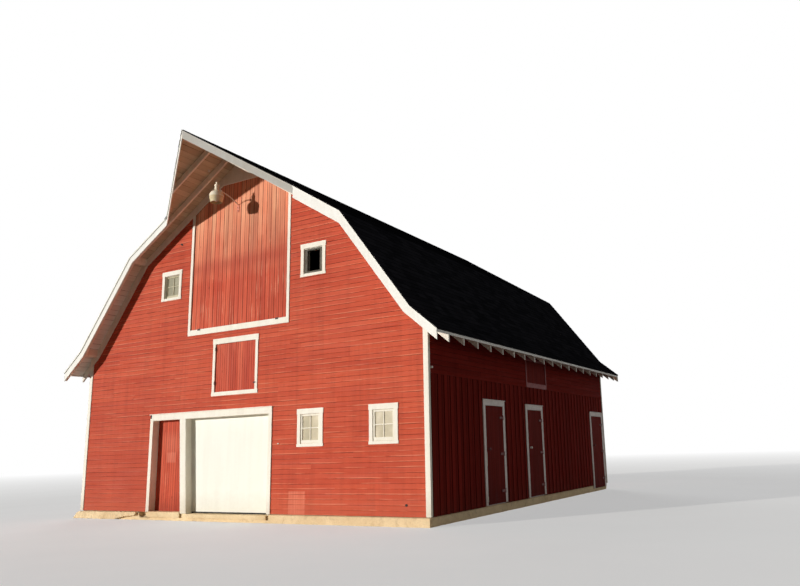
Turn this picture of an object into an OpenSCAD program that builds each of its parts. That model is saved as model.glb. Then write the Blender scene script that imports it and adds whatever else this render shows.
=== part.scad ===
// Red gambrel barn with a hay hood, flared eaves and open rafter tails.
// X runs across the front, Y from front to back and Z up.
// The origin is on the ground, midway between the four walls.

/* [Walls] */
// Width over the boards of the two side walls
barn_width = 10160; // [9600:10:11000]
// Length over the boards of the two gable walls
barn_length = 10945; // [10900:5:11600]
// Thickness of a framed wall with its boards
wall_t = 190; // [150:5:230]
// Height of the foundation above the ground
base_h = 190; // [150:5:260]
// Height of the top of the side walls
wall_top = 3850; // [3800:5:3880]
// Thickness of trim boards
trim_t = 25; // [15:1:35]
// Width of the front and back faces of the corner boards
corner_w = 113; // [80:1:160]
// Width of the side faces of the corner boards
corner_side_w = 70; // [50:1:90]
// Height where the lap siding of the side walls starts
band_z = 2940; // [2700:5:3100]
// Thickness that the lap siding stands out on the side walls
band_t = 18; // [10:1:24]

/* [Foundation and floors] */
// Width of the concrete foundation strip
footing_w = 250; // [220:5:350]
// Height of the top of the concrete floor
floor_z = 165; // [100:5:185]
// Height of the top of the loft floor
loft_z = 2800; // [2700:5:2900]
// Thickness of the loft floor boards
loft_board_t = 30; // [20:1:45]
// Depth of the loft joists
joist_h = 235; // [150:5:260]
// How far the broken ledge at the left corner stands out in front
ledge_out = 70; // [30:5:120]
// How far the ledge runs on past the left corner
ledge_past = 240; // [100:5:320]
// Space between the ledge and the double doorway
ledge_gap = 400; // [300:10:600]
// Length over which the broken end of the ledge thins out
ledge_taper = 760; // [500:10:1000]
// Length of the piece broken out of the foundation beside the doorway
break_w = 350; // [200:10:390]
// How far the sills of the double doorway stand out in front
sill_out = 50; // [30:5:80]
// Height of the top of the sill of the small front door
sill_z = 200; // [185:5:230]
// Height of the undersides of the two sills
sill_foot = 70; // [40:5:100]

/* [Roof] */
// Height of the ridge, at the top of the roof boards
ridge_z = 8409; // [8200:5:8600]
// Distance of the gambrel break from the middle
break_x = 3272; // [3100:2:3400]
// Height of the gambrel break
break_z = 6331; // [6200:5:6450]
// Distance from the middle where the eave starts to flare
flare_x = 4952; // [4900:2:5000]
// Height where the eave starts to flare
flare_z = 4110; // [4080:5:4150]
// Distance of the eave from the middle
eave_x = 5545; // [5450:5:5650]
// Height of the eave, at the top of the roof boards
eave_z = 3615; // [3590:5:3640]
// Overhang of the roof at the front wall
front_over = 431; // [350:5:550]
// Overhang of the roof at the back wall
back_over = 515; // [480:5:600]
// How far the tip of the hay hood stands out from the front wall
hood_reach = 1753; // [1400:5:2000]
// Half the width of the hay hood where it leaves the roof edge
hood_half = 1992; // [1600:5:2300]
// Thickness of the roof boards
deck_t = 25; // [18:1:35]
// Thickness of the shingles
shingle_t = 32; // [15:1:45]
// How far the shingles lap over the edge boards
shingle_lap = 14; // [5:1:25]
// Thickness of the edge boards of the roof
edge_t = 22; // [15:1:30]
// Plumb height of the edge board along the eaves
eave_board_h = 60; // [40:1:90]
// Depth of the rafters
rafter_h = 140; // [120:1:160]
// Thickness of the rafters
rafter_t = 45; // [35:1:60]
// Spacing of the rafters
rafter_step = 609.6; // [600:0.1:620]
// Middle of the first rafter behind the front face
first_rafter_y = 75; // [60:1:90]
// Width of the blocks that carry the front barge rafters
lookout_w = 50; // [35:1:60]
// Height of those blocks
lookout_h = 90; // [60:1:110]
// How far they lie inwards of the bends of the roof
lookout_in = 25; // [10:1:60]
// Middle of the rafter inside the hay hood, in front of the wall
hood_rafter_y = 950; // [700:5:1200]
// Plumb heights of the left roof edge board: upper slope, lower slope and flare
left_rake = [185, 250, 205];
// Plumb heights of the right roof edge board: upper slope, lower slope and flare
right_rake = [265, 275, 205];
// Plumb height of the two edge boards of the hood
hood_board_h = 175; // [120:1:200]
// Depth of the frieze board under the roof at the gables
frieze_h = 170; // [120:1:220]
// How far below the ridge the level lower edge of the board that closes each gable lies
peak_board_drop = 594; // [460:2:700]
// Thickness of the ridge board
ridge_board_t = 38; // [25:1:50]
// Lower edge of the ridge board below the ridge
ridge_board_drop = 200; // [190:5:240]

/* [Front doorway] */
// Left side of the double doorway
doorway_x0 = -2584; // [-2700:2:-2400]
// Right side of the double doorway
doorway_x1 = 1070; // [900:2:1300]
// Height of the double doorway
doorway_z = 2285; // [2200:5:2330]
// Thickness of the boards that line doorways
lining_t = 20; // [15:1:30]
// Width of the casing at the sides of the doorway
door_casing_w = 98; // [70:1:120]
// Height of the casing over the doorway
door_head_h = 137; // [100:1:150]
// How far casings stand out from the front wall
casing_t = 30; // [15:1:40]
// Width of the post between the two doors
mullion_w = 190; // [150:2:240]
// Left side of the post at its foot
mullion_x = -1526; // [-1580:2:-1500]
// How far the old post leans to the left over its height
mullion_lean = 145; // [0:5:160]
// Thickness of the hinged doors
leaf_t = 36; // [30:1:45]
// Gap around a hinged door
leaf_gap = 5; // [5:1:8]
// How far the two front doors lap behind the post
post_lap = 34; // [10:1:60]

/* [Side doors] */
// Distance of the front and middle side doors from the front face, at their front sides
side_door_from_front = [2375, 4700];
// Distance of the rear side door from the back face, at its rear side
side_door_from_back = 235; // [230:5:1500]
// Clear width of each side door
side_door_w = [887, 910, 1010];
// Height of the foot of each side door
side_door_z = [212, 212, 105];
// Height of the top of each side door
side_door_top = [2333, 2307, 2268];
// Width of the casings of the side doors
side_casing_w = 105; // [80:1:110]
// Height of the casing over a side door
side_head_h = 115; // [90:1:140]
// How far the drip board stands out past the casing
drip_out = 18; // [8:1:30]
// Height of the middle of the door knobs
knob_z = 1385; // [1200:5:1500]
// Distance of a knob from the free edge of its door
knob_in = 90; // [60:1:140]
// Radius of a door knob
knob_r = 30; // [22:1:36]
// Radius of the hinge barrels
barrel_r = 7; // [5:0.5:9]
// Length of a hinge barrel
barrel_l = 100; // [70:5:140]
// Length of a hinge strap
strap_l = 200; // [120:5:300]
// Clearance between a hinge barrel and what it lies against, and under the shingles
seat_gap = 0.3; // [0.2:0.1:0.5]

/* [Gable openings] */
// How far the gable openings sit to the right of the middle
opening_shift = 15; // [-40:1:40]
// Clear width of the hay door
hay_w = 2980; // [2600:5:3200]
// Height of the foot of the hay door
hay_z = 4360; // [4250:5:4450]
// Width of the boards beside the hay door
hay_trim_w = 80; // [60:1:110]
// Height of the board under the hay door
hay_sill_h = 134; // [90:1:160]
// Clear width of the loft door
loft_w = 1236; // [1000:2:1300]
// Clear height of the loft door
loft_h = 1102; // [900:2:1120]
// Height of the foot of the loft door
loft_door_z = 2842; // [2835:1:2900]
// Width of the boards round the loft door
loft_trim_w = 90; // [70:1:100]
// Thickness of the hay door, the loft door and the hatch
upper_leaf_t = 34; // [25:1:45]
// How far the faces of those doors lie behind the wall face
upper_leaf_in = 4; // [0:1:20]

/* [Windows] */
// Width over the casing of a window
win_w = 706; // [640:2:760]
// Height over the casing of a lower window
win_h = 785; // [700:5:810]
// Height over the casing of an upper window
upper_win_h = 741; // [700:1:780]
// Width of the casings beside a window
win_casing_w = 98; // [60:1:110]
// Height of the casing over a window
win_head_h = 112; // [70:1:120]
// Height of the casing under a window
win_foot_h = 62; // [50:1:90]
// How far the upper and lower casings run past the side casings
casing_ear = 12; // [4:1:20]
// Width of the sash round the glass, at its sides and top
sash_w = 32; // [20:1:40]
// Height of the lower rail of a sash
sash_rail_h = 60; // [40:1:80]
// Thickness of the sash
sash_t = 36; // [25:1:45]
// How far a lower sash lies behind the wall face, less than nothing where it stands out
sash_in = -8; // [-16:1:60]
// How far an upper sash lies behind the wall face
upper_sash_in = 34; // [2:1:60]
// Width of the side boards of the old frame in the window that has lost its glass
old_frame_w = 72; // [50:1:90]
// Height of the upper and lower boards of that frame
old_rail_h = 38; // [25:1:60]
// How far that frame lies behind the wall face
old_frame_in = 2; // [2:1:60]
// Thickness of the boards that line a window opening
win_lining = 12; // [8:1:20]
// Thickness of the glass
glass_t = 4; // [3:1:6]
// Middles of the lower windows
lower_win_x = [2210, 4050];
// Height of the foot of the lower windows
lower_win_z = 1550; // [1500:5:1560]
// Middles of the upper windows
upper_win_x = [-2200, 2238];
// Height of the foot of the upper windows
upper_win_z = 5186; // [5120:2:5200]

/* [Hatch in the side wall] */
// Distance of the hatch from the front face
hatch_y = 4790; // [4700:5:4900]
// Width of the hatch
hatch_w = 1240; // [1000:5:1300]
// Height of the foot of the hatch
hatch_z = 2990; // [2960:5:3050]
// Height of the hatch
hatch_h = 560; // [400:5:620]
// Width of the dark boards round the hatch
hatch_trim_w = 60; // [40:1:70]
// Height of the board under the hatch
hatch_sill_h = 120; // [60:5:180]

/* [Yard lamp] */
// Distance of the lamp arm from the middle of the front
lamp_x = -62; // [-200:2:200]
// How far below the ridge the lamp arm leaves the hay door
arm_drop = 1180; // [1150:5:1260]
// How far the lamp arm rises
arm_rise = 185; // [140:5:200]
// How far the middle of the lamp stands out from the wall
lamp_out = 670; // [560:5:760]
// How far below the ridge the lower rim of the lamp bowl hangs
bowl_drop = 1314; // [1290:2:1380]
// Height of the lamp bowl up to where it is widest
bowl_h = 150; // [120:2:200]
// Height of the dome between the bowl and the neck
dome_h = 130; // [100:2:160]
// Radius of the lamp bowl at its upper edge
bowl_top_r = 160; // [140:1:190]
// Radius of the lamp bowl at its lower rim
bowl_rim_r = 128; // [110:1:155]
// Wall of the lamp bowl
bowl_wall = 5; // [3:1:8]
// Radius of the lamp neck
neck_r = 48; // [40:1:60]
// Height of the lamp neck
neck_h = 128; // [100:2:150]
// Height of the knob on the neck
knob_h = 96; // [60:2:110]
// Radius of the lamp arm
arm_r = 12; // [8:1:20]
// Width of the plate that holds the arm
arm_plate_w = 56; // [40:2:100]
// Height of that plate
arm_plate_h = 180; // [120:2:220]
// How far the plate reaches up past the arm
arm_plate_up = 20; // [10:1:40]
// Thickness of that plate
arm_plate_t = 8; // [4:1:12]

/* [Hidden] */

half_w = barn_width / 2;
side_door_y = concat(side_door_from_front, [barn_length - side_door_from_back - side_door_w[2]]);
trim_x = half_w + trim_t;
inner_y = barn_length - wall_t;
far = 20000;
spill = 400;

red = [0.72, 0.27, 0.18];
dark_red = [0.45, 0.13, 0.10];
hay_red = [0.80, 0.42, 0.30];
white = [0.96, 0.95, 0.90];
concrete = [0.84, 0.76, 0.62];
board_brown = [0.52, 0.38, 0.30];
shingle_black = [0.10, 0.10, 0.12];
glass_grey = [0.60, 0.66, 0.68];
grey_metal = [0.62, 0.60, 0.55];

// The roof line from the ridge to the eave, at the top of the roof boards
roof_line = [[0, ridge_z], [break_x, break_z], [flare_x, flare_z], [eave_x, eave_z]];
function along(i) = (roof_line[i + 1] - roof_line[i]) / norm(roof_line[i + 1] - roof_line[i]);
function inward(i) = [along(i)[1], -along(i)[0]];
function mitre(i, d) = roof_line[i] + d * (inward(i - 1) + inward(i)) / (1 + inward(i - 1) * inward(i));
function plumb_end(p, i, d) = [p[0], p[1] - d / along(i)[0]];
// The roof line moved inwards by d, square to each slope
function line_at(d) = [
    plumb_end(roof_line[0], 0, d), mitre(1, d), mitre(2, d), plumb_end(roof_line[3], 2, d)
];
function backwards(list) = [for (i = [len(list) - 1:-1:0]) list[i]];
function slice(list, a, b) = [for (i = [a:b]) list[i]];
function slope(i) = along(i)[1] / along(i)[0];
function roof_z(x) =
    x < break_x ? ridge_z + slope(0) * x
    : x < flare_x ? break_z + slope(1) * (x - break_x)
    : flare_z + slope(2) * (x - flare_x);

// The corner below point i where edge boards of plumb heights h[i - 1] and h[i] meet
function plumb_corner(i, h) =
    let (t = (h[i - 1] - h[i]) / (slope(i - 1) - slope(i)))
    [roof_line[i][0] + t, roof_line[i][1] + slope(i - 1) * t - h[i - 1]];

// Rafters stand at these distances behind the front face
rafter_count = floor((barn_length + back_over - edge_t - rafter_t - first_rafter_y) / rafter_step) + 1;
function rafter_y(k) = first_rafter_y + k * rafter_step;
function inside(y) = y - rafter_t / 2 > wall_t && y + rafter_t / 2 < inner_y;
function outside(y) = y - rafter_t / 2 >= barn_length + trim_t;
rafters_in = [for (k = [0:rafter_count - 1]) if (inside(rafter_y(k))) rafter_y(k)];
rafters_out = [for (k = [0:rafter_count - 1]) if (outside(rafter_y(k))) rafter_y(k)];
wall_tails = [for (k = [0:rafter_count - 1]) if (!inside(rafter_y(k)) && !outside(rafter_y(k))) rafter_y(k)];
barge_front = -front_over + edge_t;
barge_back = barn_length + back_over - edge_t - rafter_t;
tail_x = eave_x - edge_t;

hay_x0 = opening_shift - hay_w / 2;
loft_x0 = opening_shift - loft_w / 2;
// Each window: its middle, foot, height and the depth of its sash
lower_wins = [for (x = lower_win_x) [x, lower_win_z, win_h, sash_in]];
upper_wins = [for (x = upper_win_x) [x, upper_win_z, upper_win_h, upper_sash_in]];
mirrored_wins = [for (w = lower_wins) [-w[0], w[1], w[2], w[3]]];
back_lower_wins = concat(lower_wins, mirrored_wins);
front_wins = concat(lower_wins, upper_wins);
back_wins = concat(back_lower_wins, upper_wins);
// The right upper window at the front has lost its sash
front_sashes = slice(front_wins, 0, len(front_wins) - 2);
glassless = upper_wins[1];
leaf_y = wall_t - leaf_t;
leaf_x = half_w + trim_t - 3;
opening_w = win_w - 2 * win_casing_w;
wall_split_z = doorway_z + lining_t;
side_split_z = min(side_door_top) + lining_t;
free_gap = leaf_gap + 3;

// Where the lining of side door i starts and ends
function lining_start(i) = side_door_y[i] - lining_t;
function lining_stop(i) =
    let (end = side_door_y[i] + side_door_w[i] + lining_t)
    inner_y - end < 60 ? inner_y : end;

module from_front() {
    translate([0, -barn_length / 2, 0]) children();
}

// Extrudes a drawing of X and Z from y0 to y1
module slab_y(y0, y1) {
    translate([0, y1, 0]) rotate([90, 0, 0]) linear_extrude(y1 - y0) children();
}

// Extrudes a drawing of Y and Z from x0 to x1
module slab_x(x0, x1) {
    translate([x0, 0, 0]) rotate([90, 0, 90]) linear_extrude(x1 - x0) children();
}

module box(x0, x1, y0, y1, z0, z1) {
    translate([x0, y0, z0]) cube([x1 - x0, y1 - y0, z1 - z0]);
}

module rect(x0, x1, z0, z1) {
    translate([x0, z0]) square([x1 - x0, z1 - z0]);
}

module both_sides() {
    children();
    mirror([1, 0, 0]) children();
}

// Everything below the roof line moved in by d
module under_roof(d) {
    edge = line_at(d);
    polygon(concat(
        edge, [[eave_x, 0], [-eave_x, 0]],
        backwards([for (p = slice(edge, 1, 3)) [-p[0], p[1]]])
    ));
}

// The strip between two depths below the roof line, from point a to point b of it
module roof_strip(d0, d1, a, b) {
    polygon(concat(slice(line_at(d0), a, b), backwards(slice(line_at(d1), a, b))));
}

module gable_strip(d0, d1, x_limit) {
    intersection() {
        difference() {
            under_roof(d0);
            under_roof(d1);
        }
        rect(-x_limit, x_limit, 0, far);
    }
}

// The roof in plan with the point of the hay hood, grown by lap
module roof_plan(lap) {
    run = hood_reach - front_over;
    reach = hood_reach + lap * norm([hood_half, run]) / hood_half;
    front_y = -front_over - lap;
    back_y = barn_length + back_over + lap;
    corner = (reach + front_y) * hood_half / run;
    polygon([
        [0, -reach], [corner, front_y], [eave_x + lap, front_y], [eave_x + lap, back_y],
        [-eave_x - lap, back_y], [-eave_x - lap, front_y], [-corner, front_y]
    ]);
}

module roof_prism(lap) {
    linear_extrude(far) roof_plan(lap);
}

module along_roof() {
    slab_y(-hood_reach - spill, barn_length + back_over + spill) children();
}

// The ridge board fills this slot of the gable walls and friezes
module ridge_slot() {
    rect(-ridge_board_t / 2, ridge_board_t / 2, ridge_z - ridge_board_drop, ridge_z);
}

module doorway_ring(x0, x1, z0, z1, side, head) {
    difference() {
        rect(x0 - side, x1 + side, z0, z1 + head);
        rect(x0, x1, z0 - 1, z1);
    }
}

module foundation() {
    color(concrete) from_front() difference() {
        box(-half_w, half_w, 0, barn_length, 0, base_h);
        box(-half_w + footing_w, half_w - footing_w, footing_w, barn_length - footing_w, -1, base_h + 1);
        box(doorway_x0 - lining_t, doorway_x1 + lining_t, -1, footing_w + 1, floor_z, base_h + 1);
        for (i = [0:2]) if (side_door_z[i] < base_h)
            box(half_w - footing_w - 1, half_w + 1, lining_start(i), lining_stop(i),
                side_door_z[i] - leaf_gap, base_h + 1);
        // The broken corner at the foot of the left door casing
        box(doorway_x0 - break_w, doorway_x0 + 60, -1, footing_w / 2, base_h / 3, base_h + 1);
    }
}

module floor_slab() {
    color(concrete) from_front()
        box(-half_w + footing_w, half_w - footing_w, footing_w, barn_length - footing_w, 0, floor_z);
}

module front_ledge() {
    end_x = doorway_x0 - ledge_gap;
    outer_x = -half_w - ledge_past;
    color(concrete) from_front() slab_y(-ledge_out, 0) polygon([
        [outer_x, 0], [outer_x + ledge_past / 4, base_h * 0.4], [-half_w - ledge_past / 4, base_h - 12],
        [end_x, base_h - 4], [end_x - 25, base_h / 2], [end_x - ledge_taper * 0.55, base_h / 3],
        [end_x - ledge_taper, 0]
    ]);
}

// The sill of the small door laps over the foundation, and the other lies in front of it
module front_sills() {
    // The post leans over the sill by this much at the sill's top
    lean = mullion_lean * (sill_z - floor_z) / (doorway_z - floor_z);
    end_x = mullion_x - lean - seat_gap;
    color(concrete) from_front() {
        union() {
            box(doorway_x0, end_x, -sill_out, 0, sill_foot, sill_z);
            box(doorway_x0, end_x, -1, leaf_y - leaf_gap, floor_z, sill_z);
        }
        box(mullion_x + mullion_w, doorway_x1, -sill_out, 0, sill_foot, floor_z);
    }
}

// The opening of window w made smaller by gaps at its sides, foot and head
module window_gap(w, side, foot, head) {
    rect(w[0] - opening_w / 2 + side, w[0] + opening_w / 2 - side,
        w[1] + win_foot_h + foot, w[1] + w[2] - win_head_h - head);
}

module window_cut(w, inset = 0) {
    window_gap(w, inset, inset, inset);
}

module front_wall_left() {
    color(red) from_front() box(-half_w, doorway_x0 - lining_t, 0, wall_t, base_h, wall_split_z);
}

module front_wall_right() {
    color(red) from_front() slab_y(0, wall_t) difference() {
        rect(doorway_x1 + lining_t, half_w, base_h, wall_split_z);
        for (w = lower_wins) window_cut(w);
    }
}

module gable_outline() {
    difference() {
        intersection() {
            under_roof(deck_t);
            rect(-half_w, half_w, wall_split_z, far);
        }
        ridge_slot();
        for (w = upper_wins) window_cut(w);
    }
}

module hay_opening() {
    difference() {
        intersection() {
            under_roof(deck_t + frieze_h);
            rect(hay_x0, hay_x0 + hay_w, hay_z, far);
        }
        ridge_slot();
    }
}

module loft_opening() {
    rect(loft_x0, loft_x0 + loft_w, loft_door_z, loft_door_z + loft_h);
}

module front_gable_wall() {
    color(red) from_front() slab_y(0, wall_t) difference() {
        gable_outline();
        hay_opening();
        loft_opening();
        for (w = lower_wins) window_cut(w);
    }
}

module back_wall() {
    color(red) from_front() slab_y(inner_y, barn_length) difference() {
        rect(-half_w, half_w, base_h, wall_split_z);
        for (w = back_lower_wins) window_cut(w);
    }
}

module back_gable_wall() {
    color(red) from_front() slab_y(inner_y, barn_length) difference() {
        gable_outline();
        for (w = back_lower_wins) window_cut(w);
    }
}

module left_wall() {
    color(red) from_front() box(-half_w, -half_w + wall_t, wall_t, inner_y, base_h, wall_top);
}

module right_wall_panels() {
    starts = [wall_t, lining_stop(0), lining_stop(1)];
    color(red) from_front() for (i = [0:2])
        box(half_w - wall_t, half_w, starts[i], lining_start(i), base_h, side_split_z);
}

module hatch_cut() {
    rect(hatch_y, hatch_y + hatch_w, hatch_z, hatch_z + hatch_h);
}

module right_wall_upper() {
    color(red) from_front() slab_x(half_w - wall_t, half_w) difference() {
        rect(wall_t, inner_y, side_split_z, wall_top);
        for (i = [0:2])
            rect(lining_start(i), lining_stop(i), 0, side_door_top[i] + lining_t);
        hatch_cut();
    }
}

lap_top = roof_z(trim_x) - (deck_t + rafter_h) / along(2)[0] - 10;

module lap_siding() {
    color(red) from_front() {
        lap_side() hatch_hole();
        mirror([1, 0, 0]) lap_side();
    }
}

module lap_side() {
    slab_x(half_w, half_w + band_t) difference() {
        rect(corner_side_w - trim_t, barn_length - corner_side_w + trim_t, band_z, lap_top);
        children();
    }
}

module hatch_hole() {
    rect(hatch_y - hatch_trim_w, hatch_y + hatch_w + hatch_trim_w,
        hatch_z - hatch_sill_h, hatch_z + hatch_h + hatch_trim_w);
}

module loft_floor() {
    color(board_brown) from_front() union() {
        box(-half_w + wall_t, half_w - wall_t, wall_t, inner_y, loft_z - loft_board_t, loft_z);
        for (y = rafters_in)
            box(-half_w + wall_t, half_w - wall_t, y - rafter_t / 2, y + rafter_t / 2,
                loft_z - loft_board_t - joist_h, loft_z - loft_board_t + 1);
    }
}

module roof_boards(a, b) {
    color(board_brown) from_front() intersection() {
        along_roof() roof_strip(0, deck_t, a, b);
        roof_prism(-edge_t);
    }
}

module roof_boards_upper_right() {
    roof_boards(0, 1);
}

module roof_boards_upper_left() {
    mirror([1, 0, 0]) roof_boards(0, 1);
}

module roof_boards_lower_right() {
    roof_boards(1, 3);
}

module roof_boards_lower_left() {
    mirror([1, 0, 0]) roof_boards(1, 3);
}

module shingles_right() {
    top = line_at(-shingle_t - seat_gap);
    under = line_at(-seat_gap);
    past = [shingle_lap, slope(2) * shingle_lap];
    color(shingle_black) from_front() intersection() {
        along_roof() polygon(concat(
            slice(top, 0, 2), [top[3] + past, under[3] + past], backwards(slice(under, 0, 2))
        ));
        roof_prism(shingle_lap);
    }
}

module shingles_left() {
    mirror([1, 0, 0]) shingles_right();
}

module ridge_board() {
    color(board_brown) from_front() slab_y(-hood_reach + 60, barn_length + back_over - edge_t)
        intersection() {
            under_roof(deck_t);
            ridge_slot();
        }
}

// One rafter with its flared tail and the notch that sits on the side wall
module rafter_outline(x0) {
    difference() {
        intersection() {
            roof_strip(deck_t, deck_t + rafter_h, 0, 3);
            rect(x0, tail_x, 0, far);
        }
        rect(half_w - wall_t, half_w, 0, wall_top);
    }
}

module rafter_at(y) {
    slab_y(y - rafter_t / 2, y + rafter_t / 2) rafter_outline(ridge_board_t / 2);
}

module rafters_right() {
    color(white) from_front() {
        for (y = rafters_in) rafter_at(y);
        for (y = wall_tails) slab_y(y - rafter_t / 2, y + rafter_t / 2) rafter_outline(half_w);
    }
}

module rafters_left() {
    mirror([1, 0, 0]) rafters_right();
}

// The rafters that carry the overhangs at the two gables, and the pair inside the hood
module outer_rafters() {
    color(white) from_front() both_sides() {
        slab_y(barge_front, barge_front + rafter_t) rafter_outline(ridge_board_t / 2);
        slab_y(barge_back, barge_back + rafter_t) rafter_outline(ridge_board_t / 2);
        for (y = rafters_out) rafter_at(y);
        intersection() {
            slab_y(-hood_rafter_y - rafter_t / 2, -hood_rafter_y + rafter_t / 2) intersection() {
                roof_strip(deck_t, deck_t + rafter_h, 0, 1);
                rect(ridge_board_t / 2, far, 0, far);
            }
            roof_prism(-edge_t);
        }
        lookout(break_x - lookout_w - lookout_in);
        lookout(flare_x - lookout_w - lookout_in);
    }
}

// A block under the roof boards from the front barge rafter to the frieze
module lookout(x) {
    slab_y(barge_front + rafter_t, -trim_t) intersection() {
        roof_strip(deck_t, deck_t + lookout_h, 0, 3);
        rect(x - lookout_w / 2, x + lookout_w / 2, 0, far);
    }
}

module eave_blocks() {
    ends = concat([wall_t], [for (y = rafters_in) y + rafter_t / 2]);
    starts = concat([for (y = rafters_in) y - rafter_t / 2], [inner_y]);
    color(red) from_front() both_sides() for (i = [0:len(ends) - 1])
        slab_y(ends[i], starts[i]) intersection() {
            under_roof(deck_t);
            rect(half_w - 40, half_w, wall_top, far);
        }
}

module eave_boards() {
    color(white) from_front() both_sides() slab_y(-front_over + edge_t, barn_length + back_over - edge_t)
        polygon([
            [tail_x, roof_z(tail_x)], [eave_x, eave_z], [eave_x, eave_z - eave_board_h],
            [tail_x, roof_z(tail_x) - eave_board_h]
        ]);
}

// The white edge board of one half of a gable, with plumb heights h
module rake_outline(h, x0) {
    polygon([
        [x0, roof_z(x0)], roof_line[1], roof_line[2], roof_line[3],
        [eave_x, eave_z - h[2]], plumb_corner(2, h), plumb_corner(1, h), [x0, roof_z(x0) - h[0]]
    ]);
}

module rake_boards() {
    color(white) from_front() {
        slab_y(-front_over, -front_over + edge_t) rake_outline(right_rake, hood_half);
        mirror([1, 0, 0]) slab_y(-front_over, -front_over + edge_t) rake_outline(left_rake, hood_half);
        both_sides() slab_y(barn_length + back_over - edge_t, barn_length + back_over)
            rake_outline(left_rake, 0);
    }
}

module hood_boards() {
    hood_z = roof_z(hood_half);
    color(white) from_front() intersection() {
        slab_y(-hood_reach, -front_over + edge_t) polygon([
            [0, ridge_z], [hood_half, hood_z], [hood_half, hood_z - hood_board_h],
            [0, ridge_z - hood_board_h], [-hood_half, hood_z - hood_board_h], [-hood_half, hood_z]
        ]);
        difference() {
            roof_prism(0);
            translate([0, 0, -1]) linear_extrude(far + 2) roof_plan(-edge_t);
        }
    }
}

module gable_frieze() {
    color(white) from_front() {
        slab_y(-trim_t, 0) frieze();
        slab_y(barn_length, barn_length + trim_t) frieze();
    }
}

module frieze() {
    difference() {
        union() {
            gable_strip(deck_t, deck_t + frieze_h, trim_x);
            intersection() {
                under_roof(deck_t);
                rect(-trim_x, trim_x, ridge_z - peak_board_drop, far);
            }
        }
        ridge_slot();
    }
}

module corner_board() {
    intersection() {
        union() {
            box(trim_x - corner_w, trim_x, -trim_t, 0, base_h, far / 4);
            box(half_w, trim_x, -trim_t, corner_side_w - trim_t, base_h, far / 4);
        }
        slab_y(-spill, spill) under_roof(deck_t + max(frieze_h, rafter_h));
    }
}

module corner_boards() {
    color(white) from_front() both_sides() {
        corner_board();
        translate([0, barn_length, 0]) mirror([0, 1, 0]) corner_board();
    }
}

module front_door_frame() {
    head_z = doorway_z + door_head_h;
    lining_end = leaf_y - leaf_gap;
    color(white) from_front() {
        union() {
            slab_y(-casing_t, 0)
                doorway_ring(doorway_x0, doorway_x1, base_h, doorway_z, door_casing_w, door_head_h);
            slab_y(-1, lining_end)
                doorway_ring(doorway_x0, doorway_x1, floor_z, doorway_z, lining_t, lining_t);
            box(doorway_x0 - door_casing_w - drip_out, doorway_x1 + door_casing_w + drip_out,
                -casing_t - drip_out, 0, head_z, head_z + drip_out);
            slab_y(-casing_t, lining_end) polygon([
                [mullion_x, floor_z], [mullion_x + mullion_w, floor_z],
                [mullion_x + mullion_w - mullion_lean, doorway_z + 1], [mullion_x - mullion_lean, doorway_z + 1]
            ]);
        }
    }
}

// A leaf of width w and height h. Its barrels stand on the Z axis and its face lies in_by behind it.
module hinged_leaf(w, h, in_by) {
    difference() {
        union() {
            box(leaf_gap / 2, leaf_gap / 2 + w, -in_by - leaf_t, -in_by, 0, h);
            for (z = [h * 0.12, h * 0.5, h * 0.88]) {
                translate([0, 0, z - barrel_l / 2]) cylinder(r = barrel_r, h = barrel_l, $fn = 32);
                box(0, strap_l, -3, 3, z - barrel_l / 4, z + barrel_l / 4);
                box(barrel_r + 2, strap_l, -in_by - 1, 3, z - barrel_l / 4, z + barrel_l / 4);
            }
        }
        for (z = [h * 0.12, h * 0.5, h * 0.88])
            translate([0, 0, z - barrel_l]) cylinder(r = barrel_r / 2, h = 2 * barrel_l, $fn = 32);
    }
}

post_edge = mullion_x + post_lap;
front_hinge = [doorway_x0 - lining_t + leaf_gap / 2, wall_t + barrel_r + seat_gap];

module front_door() {
    foot = floor_z + 2 * leaf_gap;
    color(red) from_front() translate([front_hinge[0], front_hinge[1], foot])
        hinged_leaf(post_edge - free_gap - front_hinge[0] - leaf_gap / 2, wall_split_z - leaf_gap - foot,
            barrel_r + seat_gap);
}

module garage_door() {
    color(white) from_front()
        box(post_edge, doorway_x1 + lining_t, leaf_y, wall_t, floor_z, wall_split_z);
}

module side_door_frame(i) {
    y0 = side_door_y[i];
    y1 = y0 + side_door_w[i];
    top = side_door_top[i];
    foot = side_door_z[i] - leaf_gap;
    stop_x = leaf_x - leaf_t - leaf_gap;
    end = lining_stop(i) == inner_y ? inner_y + side_casing_w - 10 : y1 + side_casing_w;
    slab_x(half_w, trim_x) difference() {
        rect(y0 - side_casing_w, end, foot, top + side_head_h);
        rect(y0, y1, foot - 1, top);
    }
    slab_x(half_w - wall_t, half_w + 1) difference() {
        rect(lining_start(i), lining_stop(i), foot, top + lining_t);
        rect(y0, y1, foot - 1, top);
    }
    slab_x(stop_x - 30, stop_x) difference() {
        rect(y0 - 1, y1 + 1, foot, top + 1);
        rect(y0 + 12, y1 - 12, foot - 1, top - 12);
    }
    if (foot > base_h)
        box(half_w - wall_t, half_w, lining_start(i), lining_stop(i), base_h, foot);
    box(half_w, trim_x + drip_out, y0 - side_casing_w - drip_out, end + drip_out,
        top + side_head_h, top + side_head_h + drip_out);
}

module side_door_frames() {
    color(white) from_front() for (i = [0:2]) side_door_frame(i);
}

module side_leaf(i) {
    axis_x = trim_x + barrel_r + seat_gap;
    axis_y = side_door_y[i] + side_door_w[i] - leaf_gap / 2;
    color(dark_red) from_front() union() {
        translate([axis_x, axis_y, side_door_z[i]]) rotate([0, 0, -90])
            hinged_leaf(side_door_w[i] - leaf_gap - free_gap, side_door_top[i] - leaf_gap - side_door_z[i],
                axis_x - leaf_x);
        knob(i);
    }
}

module side_door_front() {
    side_leaf(0);
}

module side_door_middle() {
    side_leaf(1);
}

module side_door_rear() {
    side_leaf(2);
}

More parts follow.
